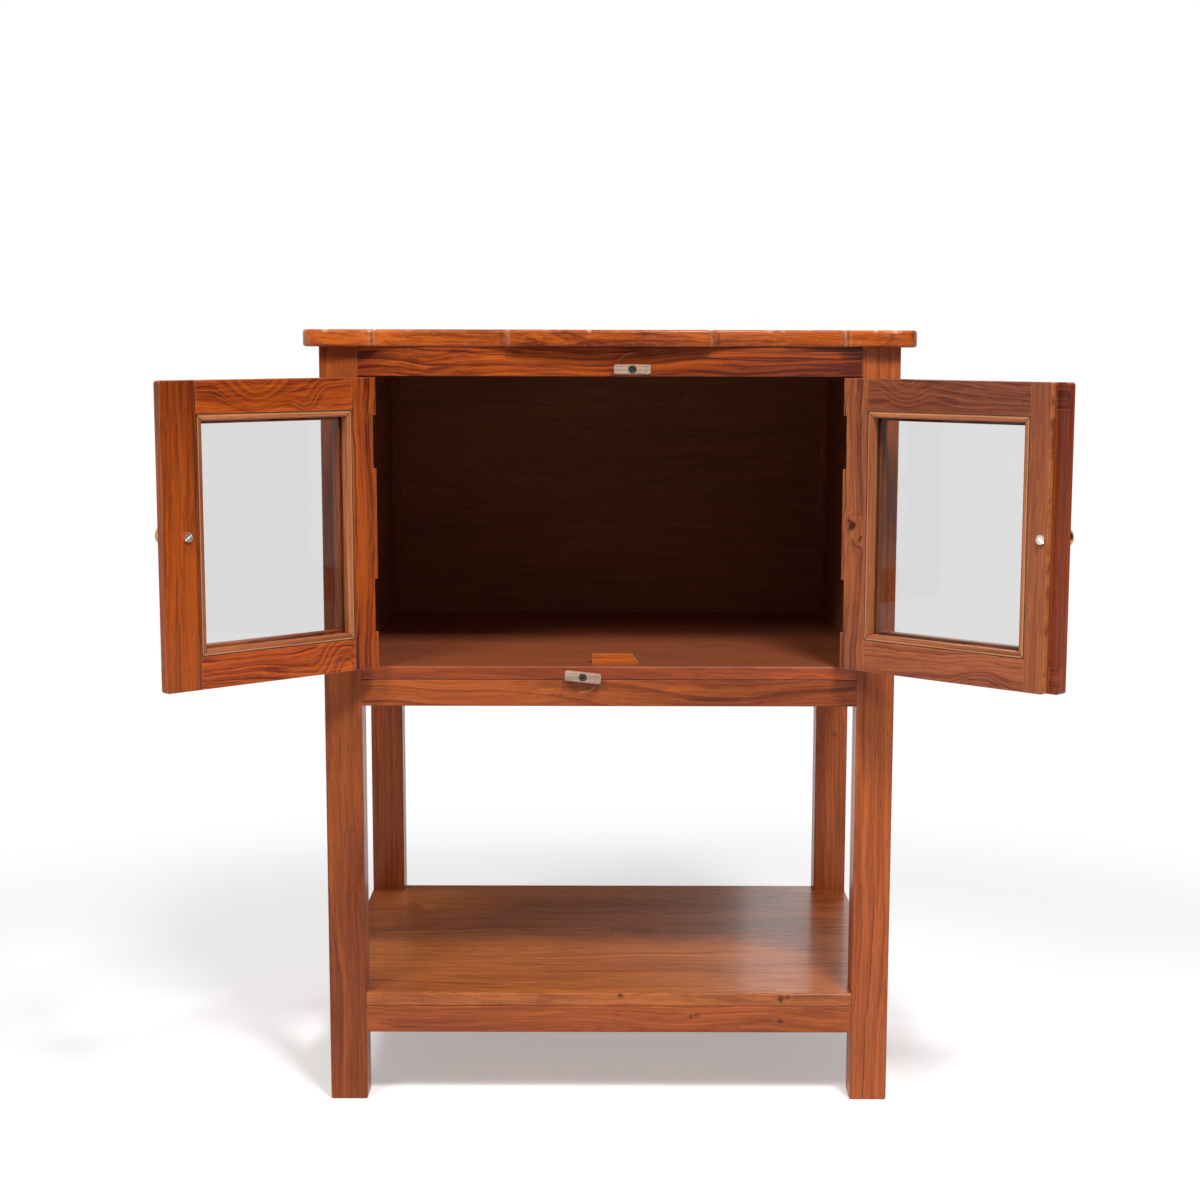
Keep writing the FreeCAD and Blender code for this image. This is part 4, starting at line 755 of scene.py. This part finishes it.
def slotted_screws():
    """A node tree that stands a slotted screw on each point, turned as its turn attribute says."""
    tree = bpy.data.node_groups.new("slotted_screws", "GeometryNodeTree")
    tree.interface.new_socket("Points", in_out="INPUT", socket_type="NodeSocketGeometry")
    for label in ("Head Radius", "Head Foot", "Head Height", "Shank Radius", "Shank Length",
                  "Slot Width", "Slot Depth"):
        tree.interface.new_socket(label, in_out="INPUT", socket_type="NodeSocketFloat")
    tree.interface.new_socket("Metal", in_out="INPUT", socket_type="NodeSocketMaterial")
    tree.interface.new_socket("Screws", in_out="OUTPUT", socket_type="NodeSocketGeometry")
    given = tree.nodes.new("NodeGroupInput").outputs
    head = put(tree, "GeometryNodeMeshCone", {
        "Vertices": 32, "Radius Top": given["Head Radius"], "Radius Bottom": given["Head Foot"],
        "Depth": given["Head Height"]}).outputs["Mesh"]
    sunk = put(tree, "ShaderNodeCombineXYZ", {"Z": maths(
        tree, "MULTIPLY", given["Head Height"], -1.0)}).outputs[0]
    head = put(tree, "GeometryNodeTransform", {"Geometry": head, "Translation": sunk}).outputs[0]
    shank = put(tree, "GeometryNodeMeshCylinder", {
        "Vertices": 24, "Radius": given["Shank Radius"],
        "Depth": given["Shank Length"]}).outputs["Mesh"]
    below = maths(tree, "MULTIPLY_ADD", given["Shank Length"], -0.5, maths(
        tree, "MULTIPLY", given["Head Height"], -0.5))
    shank = put(tree, "GeometryNodeTransform", {"Geometry": shank, "Translation": put(
        tree, "ShaderNodeCombineXYZ", {"Z": below}).outputs[0]}).outputs[0]
    size = put(tree, "ShaderNodeCombineXYZ", {
        "X": maths(tree, "MULTIPLY", given["Head Radius"], 3.0), "Y": given["Slot Width"],
        "Z": maths(tree, "MULTIPLY", given["Slot Depth"], 2.0)}).outputs[0]
    slot = put(tree, "GeometryNodeMeshCube", {"Size": size}).outputs["Mesh"]
    cut = put(tree, "GeometryNodeMeshBoolean", {0: head, 1: slot}, operation="DIFFERENCE")
    cut.solver = "EXACT"
    whole = tree.nodes.new("GeometryNodeJoinGeometry")
    tree.links.new(cut.outputs[0], whole.inputs[0])
    tree.links.new(shank, whole.inputs[0])
    turn = put(tree, "GeometryNodeInputNamedAttribute", {"Name": "turn"},
               data_type="FLOAT_VECTOR").outputs[0]
    placed = put(tree, "GeometryNodeInstanceOnPoints", {
        "Points": given["Points"], "Instance": whole.outputs[0],
        "Rotation": put(tree, "FunctionNodeEulerToRotation", {0: turn}).outputs[0]})
    solid = put(tree, "GeometryNodeRealizeInstances", {0: placed.outputs[0]}).outputs[0]
    coated = put(tree, "GeometryNodeSetMaterial", {0: solid, "Material": given["Metal"]})
    tree.links.new(coated.outputs[0], tree.nodes.new("NodeGroupOutput").inputs[0])
    return tree


screw_tree = slotted_screws()


def screws(name, places, sizes, metal_kind, body, node):
    """Run the tree on a mesh of points, each with a place and the turn of its screw."""
    points = bpy.data.meshes.new(name)
    points.from_pydata([place.translation for place in places], [], [])
    turns = points.attributes.new("turn", "FLOAT_VECTOR", "POINT")
    for number, place in enumerate(places):
        turns.data[number].vector = place.to_euler()
    piece = added(name, points)
    modifier = piece.modifiers.new("screws", "NODES")
    modifier.node_group = screw_tree
    settings = {**sizes, "Metal": metal_kind}
    for socket in screw_tree.interface.items_tree:
        if socket.in_out == "INPUT" and socket.name in settings:
            modifier[socket.identifier] = settings[socket.name]
    made = piece.evaluated_get(bpy.context.evaluated_depsgraph_get())
    mesh = bpy.data.meshes.new_from_object(made)
    piece.modifiers.clear()
    piece.data = mesh
    mesh.name = name
    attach(piece, body)
    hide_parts(node)


def standing(place, axis, roll=0.0):
    """A place whose z axis points along an axis, rolled about it."""
    turn = Vector(axis).to_track_quat("Z", "Y").to_matrix().to_4x4()
    return Matrix.Translation(place) @ turn @ Matrix.Rotation(roll, 4, "Z")


HINGE_HEIGHTS = (0.063, DOOR_HEIGHT - 0.063)
LEAF_THICK, SCREW_BACK, SCREW_RISE = 0.0012, 0.0105, 0.017
LEAF_SCREW = {"Head Radius": 0.0028, "Head Foot": 0.0014, "Head Height": 0.0012,
              "Shank Radius": 0.0014, "Shank Length": 0.0108, "Slot Width": 0.0006,
              "Slot Depth": 0.0005}
KNOB_SCREW = {"Head Radius": 0.0045, "Head Foot": 0.0045, "Head Height": 0.0024,
              "Shank Radius": 0.002, "Shank Length": 0.028, "Slot Width": 0.0014,
              "Slot Depth": 0.0014}
BUTTON_SCREW = {"Head Radius": 0.004, "Head Foot": 0.00175, "Head Height": 0.002,
                "Shank Radius": 0.00175, "Shank Length": 0.018, "Slot Width": 0.001,
                "Slot Depth": 0.001}
screw_steel = metal("screw_steel", colour(150, 146, 140), colour(90, 84, 76), 0.35, 300.0)
dark_steel = metal("dark_steel", colour(96, 94, 92), colour(52, 50, 48), 0.4, 400.0)
for hand, side in HANDS.items():
    on_leg, on_door = [], []
    for height in HINGE_HEIGHTS:
        for rise in (-SCREW_RISE, SCREW_RISE):
            roll = 0.7 * math.sin(900 * (height + rise) + side)
            on_leg.append(standing(
                (-side * (PIN_OUT + LEAF_THICK), PIN_FRONT + SCREW_BACK,
                 DOOR_LOW + height + rise), (side, 0, 0), roll))
            on_door.append(door_place[hand] @ standing(
                (side * LEAF_THICK, SCREW_BACK, height + rise), (-side, 0, 0), -roll))
    screws(f"leaf_screws_on_leg_{hand}", on_leg, LEAF_SCREW, screw_steel, "carcass",
           f"frame_leaf_screws_{hand}")
    screws(f"leaf_screws_on_door_{hand}", on_door, LEAF_SCREW, screw_steel, f"{hand}_door",
           f"door_leaf_screws_{hand}")
    head = door_place[hand] @ standing(
        (KNOB_OUT[hand] * side, DOOR_BACK + KNOB_SCREW["Head Height"], DOOR_HEIGHT / 2),
        (0, 1, 0), 0.6 * side)
    screws(f"knob_screw_slotted_{hand}", [head], KNOB_SCREW, bright_brass, f"{hand}_door",
           f"knob_screw_{hand}")

# Hinges
# Two brass butt hinges to a door, let into its edge and screwed to the leg. Their five knuckles
# turn on a brass pin, and the brass is coloured dull and brown.

hinge_brass = metal("hinge_brass", colour(150, 112, 60), colour(74, 52, 30), 0.38)
dress(hinge_brass, *[f"{kind}_{hand}" for kind in ("frame_leaves", "door_leaves", "hinge_pins")
                     for hand in HANDS])

# Turn buttons
# Two small blocks of pale, nearly bare wood, each on one recessed screw. The upper one turns on
# the rail, the lower one on the floor board's edge, and each has a line scored near one end.

dress(lacquered_wood(
    "button_wood", laid((0, -0.155, 0.6), RIGHT, FRONT, (0.05, 0.05)),
    colour(200, 170, 152), colour(142, 108, 88), colour(226, 204, 188), ring_width=0.004,
    sway=0.01, wear=0.8, coat=0.05, shine=0.6), "turn_button_top", "turn_button_bottom")
for button, front, roll in (("top", -0.1568, 0.8), ("bottom", -0.1571, 0.5)):
    x, z = BUTTONS[button]
    screws(f"button_screw_{button}", [standing((x, front, z), FRONT, roll)], BUTTON_SCREW,
           dark_steel, "carcass", f"turn_button_screw_{button}")

# Studio
# A pale floor that turns to plain white away from the cabinet, soft light from the front, above
# and behind, and the camera where the photographer stood. Three black cards are seen by
# reflections alone, where the photo's lacquer mirrors something dark.


def looks(tree):
    """1 for the rays that look at something: from the camera, off a gloss or through glass."""
    rays = put(tree, "ShaderNodeLightPath").outputs
    return maths(tree, "MAXIMUM", rays["Is Camera Ray"], maths(
        tree, "MAXIMUM", rays["Is Glossy Ray"], rays["Is Transmission Ray"]))


def stage_card(name, corners, material):
    """A flat card with one material, put into the scene."""
    mesh = bpy.data.meshes.new(name)
    mesh.from_pydata(corners, [], [(0, 1, 2, 3)])
    mesh.materials.append(material)
    card = added(name, mesh)
    return card


floor, tree = blank_material("pale_floor")
spot = put(tree, "ShaderNodeTexCoord").outputs["Object"]
away = vectors(tree, "LENGTH", vectors(tree, "MULTIPLY", spot, (1, 1, 0)))
away = eased(tree, away, 0.5, 1.4)
ground = put(tree, "ShaderNodeBsdfDiffuse", {"Color": mixed(
    tree, away, (0.93, 0.93, 0.93, 1), (0.45, 0.45, 0.45, 1))})
glow = put(tree, "ShaderNodeEmission", {"Color": (1, 1, 1, 1), "Strength": 0.35})
lit = put(tree, "ShaderNodeAddShader", {0: ground.outputs[0], 1: glow.outputs[0]})
white = put(tree, "ShaderNodeEmission", {"Color": (1, 1, 1, 1), "Strength": 1.0})
blend = put(tree, "ShaderNodeMixShader", {0: away, 1: lit.outputs[0], 2: white.outputs[0]})
final = put(tree, "ShaderNodeMixShader", {
    0: looks(tree), 1: ground.outputs[0], 2: blend.outputs[0]})
put(tree, "ShaderNodeOutputMaterial", {"Surface": final.outputs[0]})
stage_card("studio_floor", [(-9, -9, 0), (9, -9, 0), (9, 9, 0), (-9, 9, 0)], floor)

black = bpy.data.materials.new("black_flag")
black.use_nodes = True
surface = found_node(black.node_tree, "BSDF_PRINCIPLED")
surface.inputs["Base Color"].default_value = (0, 0, 0, 1)
surface.inputs["Specular IOR Level"].default_value = 0
for name, corners in {
    "back_flag": [(-0.75, 2.6, 0.12), (0.30, 2.6, 0.12), (0.30, 2.6, 2.2), (-0.75, 2.6, 2.2)],
    "right_flag": [(2.4, -2.4, 0.15), (2.4, 0.9, 0.15), (2.4, 0.9, 2.0), (2.4, -2.4, 2.0)],
    "front_flag": [(-1.6, -3.4, 0.05), (0.3, -3.4, 0.05), (0.3, -3.4, 1.6), (-1.6, -3.4, 1.6)],
}.items():
    flag = stage_card(name, corners, black)
    flag.visible_camera = flag.visible_diffuse = flag.visible_transmission = False
    flag.visible_shadow = False

world = bpy.data.worlds.new("studio")
bpy.context.scene.world = world
world.use_nodes = True
tree = world.node_tree
tree.nodes.clear()
around = put(tree, "ShaderNodeBackground", {"Color": (1, 1, 1, 1), "Strength": 0.17})
beyond = put(tree, "ShaderNodeBackground", {"Color": (1, 1, 1, 1), "Strength": 1.0})
sky = put(tree, "ShaderNodeMixShader", {
    0: looks(tree), 1: around.outputs[0], 2: beyond.outputs[0]})
put(tree, "ShaderNodeOutputWorld", {"Surface": sky.outputs[0]})

AIM = Vector((0, 0, 0.45))
for name, place, size, power in (
    ("right_key", (0.8, -2.1, 3.3), 0.6, 92),
    ("left_key", (-1.3, -2.1, 2.8), 0.8, 44),
    ("back_light", (0.5, 2.6, 2.4), 1.2, 22),
):
    lamp = bpy.data.lights.new(name, "AREA")
    lamp.size = size
    lamp.energy = power
    hung = added(name, lamp)
    hung.location = place
    hung.rotation_euler = (AIM - Vector(place)).to_track_quat("-Z", "Y").to_euler()

lens = bpy.data.cameras.new("photo_camera")
lens.sensor_width = 36
lens.lens = 69.837
lens.shift_x = -0.007726
lens.shift_y = 0.080193
camera = added("photo_camera", lens)
camera.location = (0, -2.48617, 0.790276)
camera.rotation_euler = (Matrix.Rotation(math.radians(81.118), 3, "X")
                         @ Matrix.Rotation(0.001916, 3, "Z")).to_euler()
bpy.context.scene.camera = camera
bpy.context.scene.view_settings.view_transform = "Standard"
